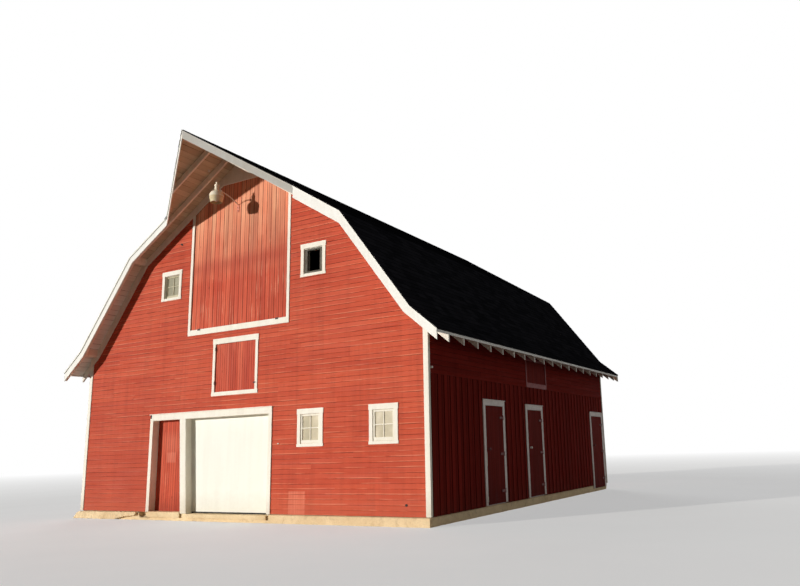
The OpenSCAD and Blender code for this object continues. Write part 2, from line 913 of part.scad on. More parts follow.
module knob(i) {
    translate([leaf_x - 1, side_door_y[i] + knob_in, knob_z]) rotate([0, 90, 0])
        rotate_extrude($fn = 40) polygon([
            [0, 0], [knob_r * 0.9, 0], [knob_r * 0.8, 7], [knob_r * 0.35, 11], [knob_r * 0.35, 27],
            [knob_r * 0.8, 33], [knob_r, 45], [knob_r * 0.85, 57], [knob_r * 0.4, 63], [0, 64]
        ]);
}

// Casing boards over and under the opening, which run past those at its sides
module casing(x0, x1, z0, z1, side, foot, head) {
    difference() {
        union() {
            rect(x0 - side + casing_ear, x1 + side - casing_ear, z0 - foot, z1 + head);
            rect(x0 - side, x1 + side, z0 - foot, z0);
            rect(x0 - side, x1 + side, z1, z1 + head);
        }
        rect(x0, x1, z0, z1);
    }
}

// Window w with its casing and lining
module window_frame(w) {
    slab_y(-trim_t, 0) casing(w[0] - opening_w / 2, w[0] + opening_w / 2, w[1] + win_foot_h,
        w[1] + w[2] - win_head_h, win_casing_w, win_foot_h, win_head_h);
    slab_y(-1, wall_t - 20) difference() {
        window_cut(w);
        window_cut(w, win_lining);
    }
}

module sash(w) {
    slab_y(w[3], w[3] + sash_t) difference() {
        window_cut(w, win_lining);
        pane(w);
    }
}

module pane(w) {
    window_gap(w, win_lining + sash_w, win_lining + sash_rail_h, win_lining + sash_w);
}

module at_back() {
    translate([0, barn_length, 0]) mirror([0, 1, 0]) children();
}

module window_frames() {
    color(white) from_front() {
        for (w = front_wins) window_frame(w);
        at_back() for (w = back_wins) window_frame(w);
    }
}

module window_sashes() {
    color(white) from_front() {
        for (w = front_sashes) sash(w);
        at_back() for (w = back_wins) sash(w);
    }
}

module glass(w) {
    slab_y(w[3] + sash_t / 2, w[3] + sash_t / 2 + glass_t) pane(w);
}

module window_glass() {
    color(glass_grey) from_front() {
        for (w = front_sashes) glass(w);
        at_back() for (w = back_wins) glass(w);
    }
}

module old_window_frame() {
    color(board_brown) from_front() slab_y(old_frame_in, old_frame_in + sash_t) difference() {
        window_cut(glassless, win_lining);
        window_gap(glassless, win_lining + old_frame_w, win_lining + old_rail_h, win_lining + old_rail_h);
    }
}

module hay_door() {
    color(hay_red) from_front() slab_y(upper_leaf_in, upper_leaf_in + upper_leaf_t) hay_opening();
}

module loft_door() {
    color(hay_red) from_front() slab_y(upper_leaf_in, upper_leaf_in + upper_leaf_t) loft_opening();
}

module gable_door_trim() {
    color(white) from_front() slab_y(-trim_t, 0) {
        difference() {
            intersection() {
                under_roof(deck_t + frieze_h);
                rect(hay_x0 - hay_trim_w, hay_x0 + hay_w + hay_trim_w, hay_z - hay_sill_h, far);
            }
            rect(hay_x0, hay_x0 + hay_w, hay_z, far);
        }
        casing(loft_x0, loft_x0 + loft_w, loft_door_z, loft_door_z + loft_h,
            loft_trim_w, loft_trim_w, loft_trim_w);
    }
}

module side_hatch() {
    color(dark_red) from_front() union() {
        slab_x(half_w - upper_leaf_t, half_w + 1) hatch_cut();
        slab_x(half_w, trim_x) difference() {
            hatch_hole();
            hatch_cut();
        }
    }
}

lamp_y = -lamp_out;
arm_z = ridge_z - arm_drop;
bowl_z = ridge_z - bowl_drop;
shoulder_z = bowl_h + dome_h;
neck_top = shoulder_z + neck_h;
lamp_top = neck_top + knob_h;
arm_run = lamp_out - neck_r / 2;
arm_bend = (arm_run * arm_run + arm_rise * arm_rise) / (2 * arm_rise);
arm_turn = asin(arm_run / arm_bend);

module lamp_arm() {
    reach_y = upper_leaf_in;
    color(grey_metal) from_front() difference() {
        intersection() {
            union() {
                slab_y(-arm_plate_t, reach_y) rect(lamp_x - arm_plate_w / 2, lamp_x + arm_plate_w / 2,
                    arm_z + arm_plate_up - arm_plate_h, arm_z + arm_plate_up);
                translate([lamp_x, -arm_run, arm_z + arm_rise - arm_bend]) rotate([90, 0, 90])
                    rotate([0, 0, 90 - arm_turn]) rotate_extrude(angle = arm_turn, $fn = 160)
                        translate([arm_bend, 0]) circle(r = arm_r, $fn = 24);
            }
            box(lamp_x - arm_plate_w, lamp_x + arm_plate_w, -lamp_out, reach_y, 0, far);
        }
        translate([lamp_x, lamp_y, bowl_z]) cylinder(r = neck_r, h = lamp_top, $fn = 64);
    }
}

module lamp_head() {
    inner_r = bowl_top_r - bowl_wall;
    color(grey_metal) from_front() translate([lamp_x, lamp_y, bowl_z]) rotate_extrude($fn = 64) polygon([
        [bowl_rim_r - bowl_wall, 0], [bowl_rim_r, 0], [bowl_top_r, bowl_h],
        [0.9 * bowl_top_r, bowl_h + 0.4 * dome_h], [neck_r, shoulder_z], [neck_r, neck_top],
        [neck_r / 2, neck_top + knob_h / 8], [neck_r / 2, lamp_top], [0, lamp_top], [0, bowl_h], [inner_r, bowl_h]
    ]);
}

foundation();
floor_slab();
front_ledge();
front_sills();
front_wall_left();
front_wall_right();
front_gable_wall();
back_wall();
back_gable_wall();
left_wall();
right_wall_panels();
right_wall_upper();
lap_siding();
loft_floor();
roof_boards_upper_left();
roof_boards_upper_right();
roof_boards_lower_left();
roof_boards_lower_right();
shingles_left();
shingles_right();
ridge_board();
rafters_left();
rafters_right();
outer_rafters();
eave_blocks();
eave_boards();
rake_boards();
hood_boards();
gable_frieze();
corner_boards();
front_door_frame();
front_door();
garage_door();
side_door_frames();
side_door_front();
side_door_middle();
side_door_rear();
window_frames();
window_sashes();
window_glass();
old_window_frame();
hay_door();
loft_door();
gable_door_trim();
side_hatch();
lamp_arm();
lamp_head();
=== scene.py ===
import math
import random

import bmesh
import bpy
import numpy as np
from mathutils import Matrix, Vector


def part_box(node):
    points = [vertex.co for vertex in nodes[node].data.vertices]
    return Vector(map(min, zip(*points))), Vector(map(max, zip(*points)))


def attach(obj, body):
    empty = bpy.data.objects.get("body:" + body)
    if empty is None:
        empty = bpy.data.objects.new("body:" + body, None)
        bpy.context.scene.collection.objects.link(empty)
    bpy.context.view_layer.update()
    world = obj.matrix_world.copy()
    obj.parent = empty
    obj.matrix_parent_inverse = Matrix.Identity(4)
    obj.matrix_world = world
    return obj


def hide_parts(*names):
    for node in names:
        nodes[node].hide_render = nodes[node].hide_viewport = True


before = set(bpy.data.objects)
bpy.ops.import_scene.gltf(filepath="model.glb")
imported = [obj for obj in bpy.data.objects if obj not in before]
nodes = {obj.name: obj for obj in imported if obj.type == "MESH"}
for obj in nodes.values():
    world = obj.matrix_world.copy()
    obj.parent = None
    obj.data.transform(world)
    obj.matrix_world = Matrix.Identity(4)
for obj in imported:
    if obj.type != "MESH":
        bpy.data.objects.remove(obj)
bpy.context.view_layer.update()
print("frame loaded")

# main lines of the barn, in metres
frontY, backY, sideX = -5.4725, 5.4725, 5.08
footZ = 0.19
roofLine = [(0.0, 8.409), (3.272, 6.331), (4.952, 4.110), (5.545, 3.615)]
slopes = list(zip(roofLine, roofLine[1:]))
frontEdge, backEdge = frontY - 0.431, backY + 0.515
hood = {"reach": 1.753, "over": 0.431, "half": 1.992}
east, north, south, up = (1, 0, 0), (0, 1, 0), (0, -1, 0), (0, 0, 1)
frontWall, rightWall = (0, frontY, 0), (sideX, 0, 0)


# small tools
def pick(*objects):
    bpy.ops.object.select_all(action="DESELECT")
    for obj in objects:
        obj.select_set(True)
    if objects:
        bpy.context.view_layer.objects.active = objects[0]


def startEdit(obj, kind="VERT", action="DESELECT"):
    pick(obj)
    bpy.ops.object.mode_set(mode="EDIT")
    bpy.ops.mesh.select_mode(type=kind)
    bpy.ops.mesh.select_all(action=action)


def stopEdit():
    bpy.ops.object.mode_set(mode="OBJECT")


def choose(obj, kind, test):
    mesh = bmesh.from_edit_mesh(obj.data)
    for item in getattr(mesh, kind):
        item.select_set(bool(test(item)))
    mesh.select_flush_mode()
    bmesh.update_edit_mesh(obj.data)


def block(low, high):
    bpy.ops.mesh.primitive_cube_add(size=1, location=[(a + b) / 2 for a, b in zip(low, high)],
                                    scale=[b - a for a, b in zip(low, high)])
    pick(bpy.context.object)
    bpy.ops.object.transform_apply(location=True, rotation=True, scale=True)
    return bpy.context.object


def linked(name, data):
    obj = bpy.data.objects.new(name, data)
    bpy.context.scene.collection.objects.link(obj)
    return obj


def modify(obj, kind, **settings):
    change = obj.modifiers.new("change", kind)
    for key, value in settings.items():
        setattr(change, key, value)
    pick(obj)
    bpy.ops.object.modifier_apply(modifier=change.name)


def smooth(obj, degrees=35):
    pick(obj)
    bpy.ops.object.shade_smooth_by_angle(angle=math.radians(degrees))


def joinAll(objects, name):
    pick(*objects)
    if len(objects) > 1:
        bpy.ops.object.join()
    objects[0].name = name
    objects[0].data.name = name
    return objects[0]


def paint(obj, *materials):
    obj.data.materials.clear()
    for material in materials:
        obj.data.materials.append(material)
    return obj


def mark(obj, index, test):
    # faces whose middle passes the test get the material with that index
    for face in obj.data.polygons:
        if test(face.center):
            face.material_index = index


def settle(obj, slotName, *replaced, body="barn"):
    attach(obj, body)
    if replaced:
        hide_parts(*replaced)


def steps(start, wide, count):
    return [start + k * wide for k in range(count)]


def rgb(colour):
    # linear values of a colour given as red, green and blue from 0 to 255
    values = [c / 255 for c in colour]
    return (*(v / 12.92 if v <= 0.04045 else ((v + 0.055) / 1.055) ** 2.4 for v in values), 1.0)


# node tools for the materials
class Nodes:
    def __init__(self, tree):
        self.tree = tree

    def feed(self, socket, value):
        if isinstance(value, bpy.types.NodeSocket):
            self.tree.links.new(value, socket)
        else:
            socket.default_value = value

    def add(self, kind, values=(), **settings):
        # values go to the inputs in their order, or by the keys of a dictionary
        node = self.tree.nodes.new("ShaderNode" + kind)
        for key, value in settings.items():
            setattr(node, key, value)
        for key, value in values.items() if isinstance(values, dict) else enumerate(values):
            self.feed(node.inputs[key], value)
        return node

    def math(self, operation, *values, clamp=False):
        return self.add("Math", values, operation=operation, use_clamp=clamp).outputs[0]

    def times(self, a, b, clamp=False):
        return self.math("MULTIPLY", a, b, clamp=clamp)

    def ramp(self, value, low, high, toLow=0.0, toHigh=1.0):
        return self.add("MapRange", (value, low, high, toLow, toHigh), clamp=True).outputs[0]

    def blend(self, factor, a, b):
        # colours are sockets, or red, green and blue from 0 to 255
        a, b = (rgb(c) if isinstance(c, tuple) else c for c in (a, b))
        return self.add("Mix", {0: factor, 6: a, 7: b}, data_type="RGBA").outputs[2]

    def stretch(self, vector, factors):
        return self.add("VectorMath", (vector, factors), operation="MULTIPLY").outputs[0]

    def noise(self, vector, scale, detail=3.0, rough=0.55, twist=0.0):
        values = {"Vector": vector, "Scale": scale, "Detail": detail, "Roughness": rough, "Distortion": twist}
        return self.add("TexNoise", values).outputs[0]

    def cells(self, vector, scale):
        return self.add("TexVoronoi", {"Vector": vector, "Scale": scale}).outputs["Distance"]

    def axis(self, vector, index):
        return self.add("SeparateXYZ", (vector,)).outputs[index]

    def named(self, name, output="Fac"):
        return self.add("Attribute", attribute_name=name).outputs[output]

    def seen(self):
        # 1 for rays that show the thing itself, 0 for light that bounces from it
        rays = self.add("LightPath").outputs
        return self.math("MAXIMUM", self.math("MAXIMUM", rays["Is Camera Ray"], rays["Is Glossy Ray"]),
                         rays["Is Transmission Ray"])


class Paint(Nodes):
    def __init__(self, name, roughness, specular=0.3):
        self.material = bpy.data.materials.new(name)
        self.material.use_nodes = True
        super().__init__(self.material.node_tree)
        self.shader = self.tree.nodes["Principled BSDF"].inputs
        self.shader["Roughness"].default_value = roughness
        self.shader["Specular IOR Level"].default_value = specular
        self.spot = self.add("TexCoord").outputs["Object"]

    def group(self, tree, **values):
        return self.add("Group", values, node_tree=tree).outputs

    def coat(self, mask, share, colour):
        # one more coat where the mask says, as strong as its share
        self.colour = self.blend(self.times(mask, share), self.colour, colour)

    def finish(self, rough, height, strength, distance):
        self.feed(self.shader["Base Color"], self.colour)
        self.feed(self.shader["Roughness"], rough)
        bump = self.add("Bump", {"Strength": strength, "Distance": distance, "Height": height})
        self.feed(self.shader["Normal"], bump.outputs[0])
        return self.material


def newGroup(name, ins, make):
    # ins names the inputs with their values, None for a vector; make returns the outputs by name
    tree = bpy.data.node_groups.new(name, "ShaderNodeTree")
    for label, value in ins.items():
        kind = "NodeSocketVector" if value is None else "NodeSocketFloat"
        socket = tree.interface.new_socket(name=label, in_out="INPUT", socket_type=kind)
        if value is not None:
            socket.default_value = value
    made = make(Nodes(tree), tree.nodes.new("NodeGroupInput").outputs)
    for label in made:
        tree.interface.new_socket(name=label, in_out="OUTPUT", socket_type="NodeSocketFloat")
    ends = tree.nodes.new("NodeGroupOutput").inputs
    for label, value in made.items():
        tree.links.new(value, ends[label])
    return tree


def grain(n, ins):
    # fine grain, broad streaks along the board and knots
    fine = n.noise(n.stretch(ins["Along"], (0.9, 34.0, 1.0)), 1.0, 4.0, 0.62, 0.3)
    broad = n.noise(n.stretch(ins["Along"], (0.55, 9.0, 1.0)), 1.0, 2.0, 0.5, 0.4)
    knots = n.cells(n.stretch(ins["Along"], (1.5, 6.0, 1.0)), 1.0)
    return {"Grain": n.ramp(fine, 0.32, 0.7), "Streak": n.ramp(broad, 0.36, 0.66),
            "Knot": n.ramp(knots, 0.07, 0.03)}


def weather(n, ins):
    # large patches, runs down the wall and splashes near the ground
    patches = n.noise(ins["Spot"], ins["Size"], 5.0, 0.6, 0.5)
    runs = n.noise(n.stretch(ins["Spot"], (6.0, 6.0, 0.35)), 1.2, 3.0, 0.6)
    ragged = n.math("MULTIPLY_ADD", n.noise(ins["Spot"], 5.0, 4.0, 0.6), 0.5, 0.12)
    above = n.math("SUBTRACT", n.axis(ins["Spot"], 2), ragged)
    return {"Patches": n.ramp(patches, 0.34, 0.68), "Runs": n.ramp(runs, 0.42, 0.7),
            "Splash": n.ramp(above, 0.3, -0.15)}


def wear(n, ins):
    # the cut edges of a piece, broken up
    limit = n.math("SUBTRACT", 1.0, ins["Amount"])
    broken = n.ramp(n.noise(ins["Spot"], 9.0, 4.0, 0.65), limit, 1.0, 0.0, 2.2)
    chips = n.ramp(n.noise(ins["Spot"], 23.0, 5.0, 0.7), 0.66, 0.74)
    return {"Worn": n.times(ins["Edge"], broken, clamp=True), "Chips": chips}


grainGroup = newGroup("boardGrain", {"Along": None}, grain)
weatherGroup = newGroup("weather", {"Spot": None, "Size": 1.0}, weather)
wearGroup = newGroup("edgeWear", {"Spot": None, "Edge": 0.0, "Amount": 0.5}, wear)


def frontPatch(p, x0, x1, z0, z1, soft):
    # 1 inside a rectangle of the front wall, 0 elsewhere
    mask = p.ramp(p.axis(p.spot, 1), 0.5, -0.5)
    for axis, low, high in ((0, x0, x1), (2, z0, z1)):
        value = p.axis(p.spot, axis)
        mask = p.times(mask, p.ramp(value, low - soft, low + soft))
        mask = p.times(mask, p.ramp(value, high + soft, high - soft))
    return mask


def boardPaint(name, look, **changes):
    # boards laid one by one: each has its own tone, joints are darker, on lap siding a painted shade line
    # lies under the butt of the board above, some paint is gone
    look = {"specular": 0.2, "patch": 0.55, "ragged": (0.36, 0.58), "patches": [], **look, **changes}
    p = Paint(name, 0.72, look["specular"])
    along, across = p.named("grain", "Vector"), p.named("across")
    grain = p.group(grainGroup, Along=along)
    weather = p.group(weatherGroup, Spot=p.spot, Size=look["patch"])
    light, dark, bare = look["light"], look["dark"], look["bare"]
    if "topLight" in look:
        rise = p.ramp(p.axis(p.spot, 2), *look["fade"])
        light, dark = p.blend(rise, light, look["topLight"]), p.blend(rise, dark, look["topDark"])
    p.colour = p.blend(p.named("tone"), light, dark)
    p.coat(grain["Streak"], look["streak"], dark)
    p.coat(weather["Patches"], look["mottle"], light)
    p.coat(weather["Runs"], look["runs"], look["joint"])
    gone = p.times(p.ramp(grain["Grain"], 0.62, 0.9), p.ramp(weather["Patches"], 0.3, 0.9))
    p.coat(gone, look["bareShare"], bare)
    if "lip" in look:
        # a light line along the lower edge of the boards, in places: worn paint, partly a painted highlight
        lipWearAndHighlight = p.noise(p.stretch(along, (0.8, 0.2, 1.0)), 1.0, 4.0, 0.65)
        p.coat(p.ramp(across, 0.24, 0.1), p.ramp(lipWearAndHighlight, 0.46, 0.62, 0.0, look["lip"]), bare)
    for x0, x1, z0, z1, soft, lines, share, colour in look["patches"]:
        strokes = p.noise(p.stretch(p.spot, (lines, 0.0, 0.6)), 1.0, 3.0, 0.6)
        p.coat(frontPatch(p, x0, x1, z0, z1, soft), p.ramp(strokes, 0.3, 0.65, 0.25, share), colour)
    ragged = p.noise(p.stretch(along, (2.2, 1.0, 1.0)), 1.0, 3.0, 0.6)
    # a dark band near the top edge: joints, and on lap siding the painted shade under the butt of the board
    # above
    highJoint = p.times(p.ramp(across, *look["highJoint"]),
                        p.ramp(ragged, *look["ragged"], look["jointLeast"]))
    joint = p.math("MAXIMUM", highJoint, p.times(p.ramp(across, look["lowJoint"], 0.0), look["lowShare"]))
    if "groove" in look:
        fromMiddle = p.math("ABSOLUTE", p.math("SUBTRACT", across, 0.5))
        joint = p.math("MAXIMUM", joint, p.ramp(fromMiddle, 0.045, 0.015, 0.0, look["groove"]))
    p.coat(joint, look["jointShare"], look["joint"])
    p.coat(grain["Knot"], look["knots"], look["joint"])
    p.coat(weather["Splash"], look["splash"], look.get("mud", look["joint"]))
    height = p.math("ADD", grain["Grain"], p.times(grain["Streak"], 0.5))
    return p.finish(p.ramp(grain["Grain"], 0.0, 1.0, 0.62, 0.86), height, look["bump"], 0.003)


def trimPaint(name, look, **changes):
    # paint on trim that follows the shape of a CAD piece
    look = {"roughness": 0.6, "runs": 0.25, "fibre": (14.0, 14.0, 14.0), "fibreShare": 0.22, "wear": 0.5,
            "splash": 0.5, "bump": 0.25, **look, **changes}
    p = Paint(name, look["roughness"])
    weather = p.group(weatherGroup, Spot=p.spot, Size=1.1)
    wear = p.group(wearGroup, Spot=p.spot, Edge=p.named("edge"), Amount=look["wear"])
    p.colour = look["light"]
    p.coat(weather["Patches"], look["mottle"], look["dark"])
    p.coat(weather["Runs"], look["runs"], look["grime"])
    fibre = p.noise(p.stretch(p.spot, look["fibre"]), 1.6, 4.0, 0.65)
    p.coat(p.ramp(fibre, 0.5, 0.75), look["fibreShare"], look["grime"])
    if "insideOf" in look:
        # the paint ends where the piece goes in under the roof or through the wall
        inX, inY = (p.ramp(p.math("ABSOLUTE", p.axis(p.spot, k)), limit + 0.004, limit)
                    for k, limit in enumerate(look["insideOf"]))
        p.coat(inX, inY, insideLook["light"])
    gone = p.math("MAXIMUM", wear["Worn"], p.times(wear["Chips"], look["chips"]))
    p.colour = p.blend(gone, p.colour, look["bare"])
    p.coat(weather["Splash"], look["splash"], look["grime"])
    rough = p.ramp(fibre, 0.3, 0.7, look["roughness"] - 0.08, look["roughness"] + 0.12)
    return p.finish(rough, fibre, look["bump"], 0.002)


def roughStone(name, light, dark, stain, pebble, bump):
    p = Paint(name, 0.85, 0.25)
    grit = p.noise(p.spot, 42.0, 6.0, 0.7)
    lumps = p.noise(p.spot, 6.0, 5.0, 0.6, 0.3)
    p.colour = p.blend(p.group(weatherGroup, Spot=p.spot, Size=1.6)["Patches"], light, dark)
    p.coat(p.ramp(grit, 0.5, 0.72), 0.4, stain)
    p.coat(p.ramp(lumps, 0.55, 0.7), 0.4, stain)
    p.colour = p.blend(p.ramp(p.cells(p.spot, 26.0), 0.16, 0.1, 0.0, 0.3), p.colour, pebble)
    return p.finish(p.ramp(grit, 0.3, 0.7, 0.75, 0.95), p.math("ADD", lumps, p.times(grit, 0.5)), bump, 0.012)


def metalPaint(name, light, dark, rust, roughness, specks=0.5):
    p = Paint(name, roughness, 0.5)
    blotch = p.noise(p.spot, 9.0, 4.0, 0.6, 0.4)
    speck = p.noise(p.spot, 60.0, 4.0, 0.7)
    wear = p.group(wearGroup, Spot=p.spot, Edge=p.named("edge"), Amount=0.5)
    p.colour = p.blend(p.ramp(blotch, 0.35, 0.7), light, dark)
    p.colour = p.blend(p.ramp(speck, 0.6, 0.72, 0.0, specks), p.colour, rust)
    p.colour = p.blend(wear["Worn"], p.colour, rust)
    return p.finish(p.ramp(blotch, 0.3, 0.7, roughness - 0.08, roughness + 0.15), speck, 0.15, 0.001)


def shinglePaint(name, light, dark, speck, edge):
    p = Paint(name, 0.9, 0.0)
    grit = p.noise(p.spot, 160.0, 3.0, 0.7)
    cloud = p.noise(p.spot, 0.9, 4.0, 0.6, 0.3)
    p.colour = p.blend(p.named("tone"), light, dark)
    for mask, colour in ((p.ramp(cloud, 0.4, 0.7, 0.0, 0.35), light),
                         (p.ramp(grit, 0.58, 0.7, 0.0, 0.5), speck),
                         (p.ramp(p.named("across"), 0.94, 1.0, 0.0, 0.7), edge)):
        p.colour = p.blend(mask, p.colour, colour)
    return p.finish(p.ramp(grit, 0.3, 0.7, 0.82, 0.96), grit, 0.4, 0.002)


def dustyGlass(name, clear, dust, spots, see=0.12):
    p = Paint(name, 0.12, 0.5)
    film = p.noise(p.spot, 3.2, 5.0, 0.65, 0.6)
    p.colour = p.blend(p.ramp(film, 0.35, 0.7), clear, dust)
    p.colour = p.blend(p.ramp(p.noise(p.spot, 19.0, 4.0, 0.6), 0.55, 0.75, 0.0, 0.35), p.colour, spots)
    p.shader["Transmission Weight"].default_value = see
    p.shader["IOR"].default_value = 1.5
    return p.finish(p.ramp(film, 0.3, 0.7, 0.05, 0.22), p.noise(p.spot, 2.6, 1.0, 0.4), 0.08, 0.01)


# looks of the boards, with patches as x0, x1, z0, z1, softness, strokes to a metre, share and colour
# on the lap siding the dark band from 0.8 to 0.88 across a board is painted shade under the butt of the board
# above, partly dirt
lapLook = dict(
    light=(212, 92, 61), dark=(190, 72, 47), joint=(80, 19, 11), bare=(236, 140, 106), mud=(190, 104, 74),
    highJoint=(0.8, 0.88), jointLeast=0.05, jointShare=0.85, lowJoint=0.03, lowShare=0.6, streak=0.4,
    mottle=0.4, runs=0.14, bareShare=0.4, knots=0.2, splash=0.25, bump=0.3, lip=0.65, patch=0.9)
# the side walls take a darker copy of the front red: paint less faded by the sun, and partly painted shade
sideLook = dict(lapLook, light=(130, 37, 29), dark=(108, 28, 21), joint=(50, 12, 9), bare=(156, 64, 50),
                mud=(92, 44, 33), mottle=0.25, specular=0.02, lip=0.2, jointLeast=0.2, bareShare=0.22)
battenLook = dict(sideLook, highJoint=(0.93, 1.0), lowJoint=0.07, lowShare=0.7, jointShare=0.8,
                  jointLeast=0.7)
hayLook = dict(
    light=(228, 104, 72), dark=(196, 70, 46), topLight=(255, 190, 148), topDark=(236, 130, 94),
    fade=(5.4, 7.0), joint=(96, 22, 14), bare=(250, 190, 156), highJoint=(0.915, 0.965), jointLeast=0.3,
    jointShare=0.85, lowJoint=0.085, lowShare=0.9, streak=0.6, mottle=0.45, runs=0.4, bareShare=0.75,
    knots=0.85, splash=0.0, bump=0.4, patch=0.8, groove=0.4)
doorLook = dict(
    hayLook, light=(214, 94, 64), dark=(188, 70, 47), topLight=(216, 94, 64), topDark=(188, 70, 47),
    fade=(0.3, 2.0), highJoint=(0.88, 0.965), lowJoint=0.1, streak=0.4, bareShare=0.3, splash=0.35,
    groove=0.0)

lapPaint = boardPaint("redLapPaint", lapLook)
frontPaint = boardPaint("redFrontLapPaint", lapLook, patches=[
    (1.655, 2.096, 0.15, 0.652, 0.012, 26.0, 0.6, (240, 142, 112)),
    (-5.9, -1.8, -0.8, 2.2, 1.1, 0.8, 0.62, (176, 70, 48))])
sidePaint = boardPaint("redSideLapPaint", sideLook)
battenPaint = boardPaint("redBattenPaint", battenLook)
# the boards between the battens are a little darker than the battens: painted shade of the recess
panelPaint = boardPaint("redPanelPaint", battenLook, light=(124, 34, 27), dark=(100, 25, 19))
hayPaint = boardPaint("fadedHayDoorPaint", hayLook, patches=[
    (-1.6, 1.6, 5.70, 5.98, 0.10, 5.0, 0.5, (176, 58, 40))])
loftPaint = boardPaint(
    "streakedLoftDoorPaint", hayLook, light=(226, 104, 76), dark=(196, 72, 50), topLight=(232, 116, 86),
    topDark=(200, 78, 56), fade=(2.9, 3.9), highJoint=(0.88, 0.965), lowJoint=0.1, streak=0.45, mottle=0.3,
    runs=0.25, groove=0.6)
doorPaint = boardPaint("redDoorPaint", doorLook, patches=[
    (-2.27, -1.97, 1.30, 1.53, 0.02, 12.0, 0.4, (240, 150, 122)),
    (-2.38, -1.92, 1.50, 1.95, 0.12, 16.0, 0.35, (236, 140, 110))])
# the side doors take the darker red of the side walls: partly painted shade
sideDoorPaint = boardPaint(
    "darkDoorPaint", doorLook, light=(116, 37, 30), dark=(96, 28, 23), topLight=(120, 39, 32),
    topDark=(100, 30, 25), joint=(46, 13, 11), bare=(138, 62, 50), jointShare=0.45, streak=0.3, specular=0.03)
soffitPaint = boardPaint("soffitBoards", dict(
    light=(246, 246, 238), dark=(222, 214, 200), topLight=(216, 200, 172), topDark=(186, 168, 140),
    fade=(5.2, 6.6), joint=(78, 44, 32), bare=(250, 226, 196), highJoint=(0.93, 0.97), jointLeast=0.0,
    jointShare=0.9, lowJoint=0.03, lowShare=0.3, ragged=(0.45, 0.58), streak=0.4, mottle=0.35, runs=0.0,
    bareShare=0.3, knots=0.3, splash=0.0, specular=0.1, bump=0.35))

insideLook = dict(
    light=(150, 116, 88), dark=(104, 76, 56), grime=(70, 50, 38), bare=(180, 150, 118), mottle=0.8, runs=0.4,
    fibre=(2.0, 2.0, 18.0), fibreShare=0.6, chips=0.1, wear=0.3, splash=0.3, roughness=0.82, bump=0.4)
whiteLook = dict(
    light=(252, 248, 234), dark=(242, 234, 214), grime=(190, 172, 144), bare=(150, 128, 106), mottle=0.45,
    runs=0.14, fibreShare=0.12, chips=0.16, wear=0.42, splash=0.4)
rakeLook = dict(whiteLook, light=(254, 253, 246), dark=(248, 244, 232), grime=(206, 184, 160), chips=0.1,
                splash=0.0)
rafterLook = dict(whiteLook, insideOf=(5.08, 5.47), light=(246, 240, 228), dark=(228, 218, 202), splash=0.0,
                  grime=(150, 128, 110), fibre=(3.0, 22.0, 3.0), fibreShare=0.3)

insideWood = trimPaint("bareWood", insideLook)
whitePaint = trimPaint("whiteTrimPaint", whiteLook)
rakePaint = trimPaint("whiteRakePaint", rakeLook)
# the brightest copy of the rake paint: painted light for the hood boards, whose faces turn away from the key
# light; the roof edging takes it too
hoodPaint = trimPaint("whiteHoodPaint", rakeLook, light=(255, 253, 244), dark=(250, 242, 226))
friezePaint = trimPaint("oldFriezePaint", whiteLook, light=(250, 240, 224), dark=(230, 214, 194),
                        grime=(170, 140, 116), splash=0.0)
# dark bare wood for the empty old frame, darkened further as painted shade in the opening
oldFramePaint = trimPaint("bareFrameInShadePaint", whiteLook, light=(88, 80, 60), dark=(64, 57, 42),
                          grime=(46, 38, 28), chips=0.2, mottle=0.8, fibreShare=0.4, splash=0.0)
# a greyer copy of the white trim for the side door trim: partly weathering, partly painted shade of the side
# wall
shadePaint = trimPaint("sideShadeTrimPaint", whiteLook, light=(252, 246, 238), dark=(232, 218, 208),
                       grime=(158, 132, 120), mottle=0.7, fibreShare=0.3)
sashPaint = trimPaint("sashPaint", whiteLook, dark=(236, 226, 200), mottle=0.6)
# a darker copy of the sash paint for the small window high in the front wall: painted shade
shadedSash = trimPaint("shadedSashPaint", whiteLook, light=(206, 198, 168), dark=(180, 172, 142), mottle=0.6)
rafterPaint = trimPaint("oldRafterPaint", rafterLook)
hoodRafterPaint = trimPaint("brownRafterPaint", rafterLook, insideOf=(0.01, 0.01), light=(254, 244, 226),
                            dark=(236, 218, 196), grime=(166, 134, 110))
garagePaint = trimPaint("garageDoorPaint", whiteLook, light=(250, 251, 240), dark=(244, 243, 230),
                        grime=(212, 204, 186), mottle=0.35, runs=0.1, chips=0.04, wear=0.3, splash=0.35,
                        fibreShare=0.07)
# the darker red of the side walls, for the hatch frame and the eave blocking: partly painted shade
darkTrim = trimPaint("darkTrimPaint", dict(
    light=(118, 38, 32), dark=(92, 26, 22), grime=(44, 14, 12), bare=(118, 56, 46), mottle=0.6, runs=0.3,
    chips=0.1, wear=0.25))
footing = roughStone("castFooting", (246, 222, 180), (224, 196, 152), (176, 146, 108), (198, 172, 134), 0.6)
slabStone = roughStone("floorSlab", (168, 160, 148), (140, 132, 120), (96, 86, 76), (120, 112, 102), 0.3)
shingles = shinglePaint("darkShingles", (46, 45, 49), (28, 28, 31), (72, 71, 75), (11, 11, 13))
glass = dustyGlass("oldGlass", (206, 196, 166), (230, 214, 180), (184, 170, 138))
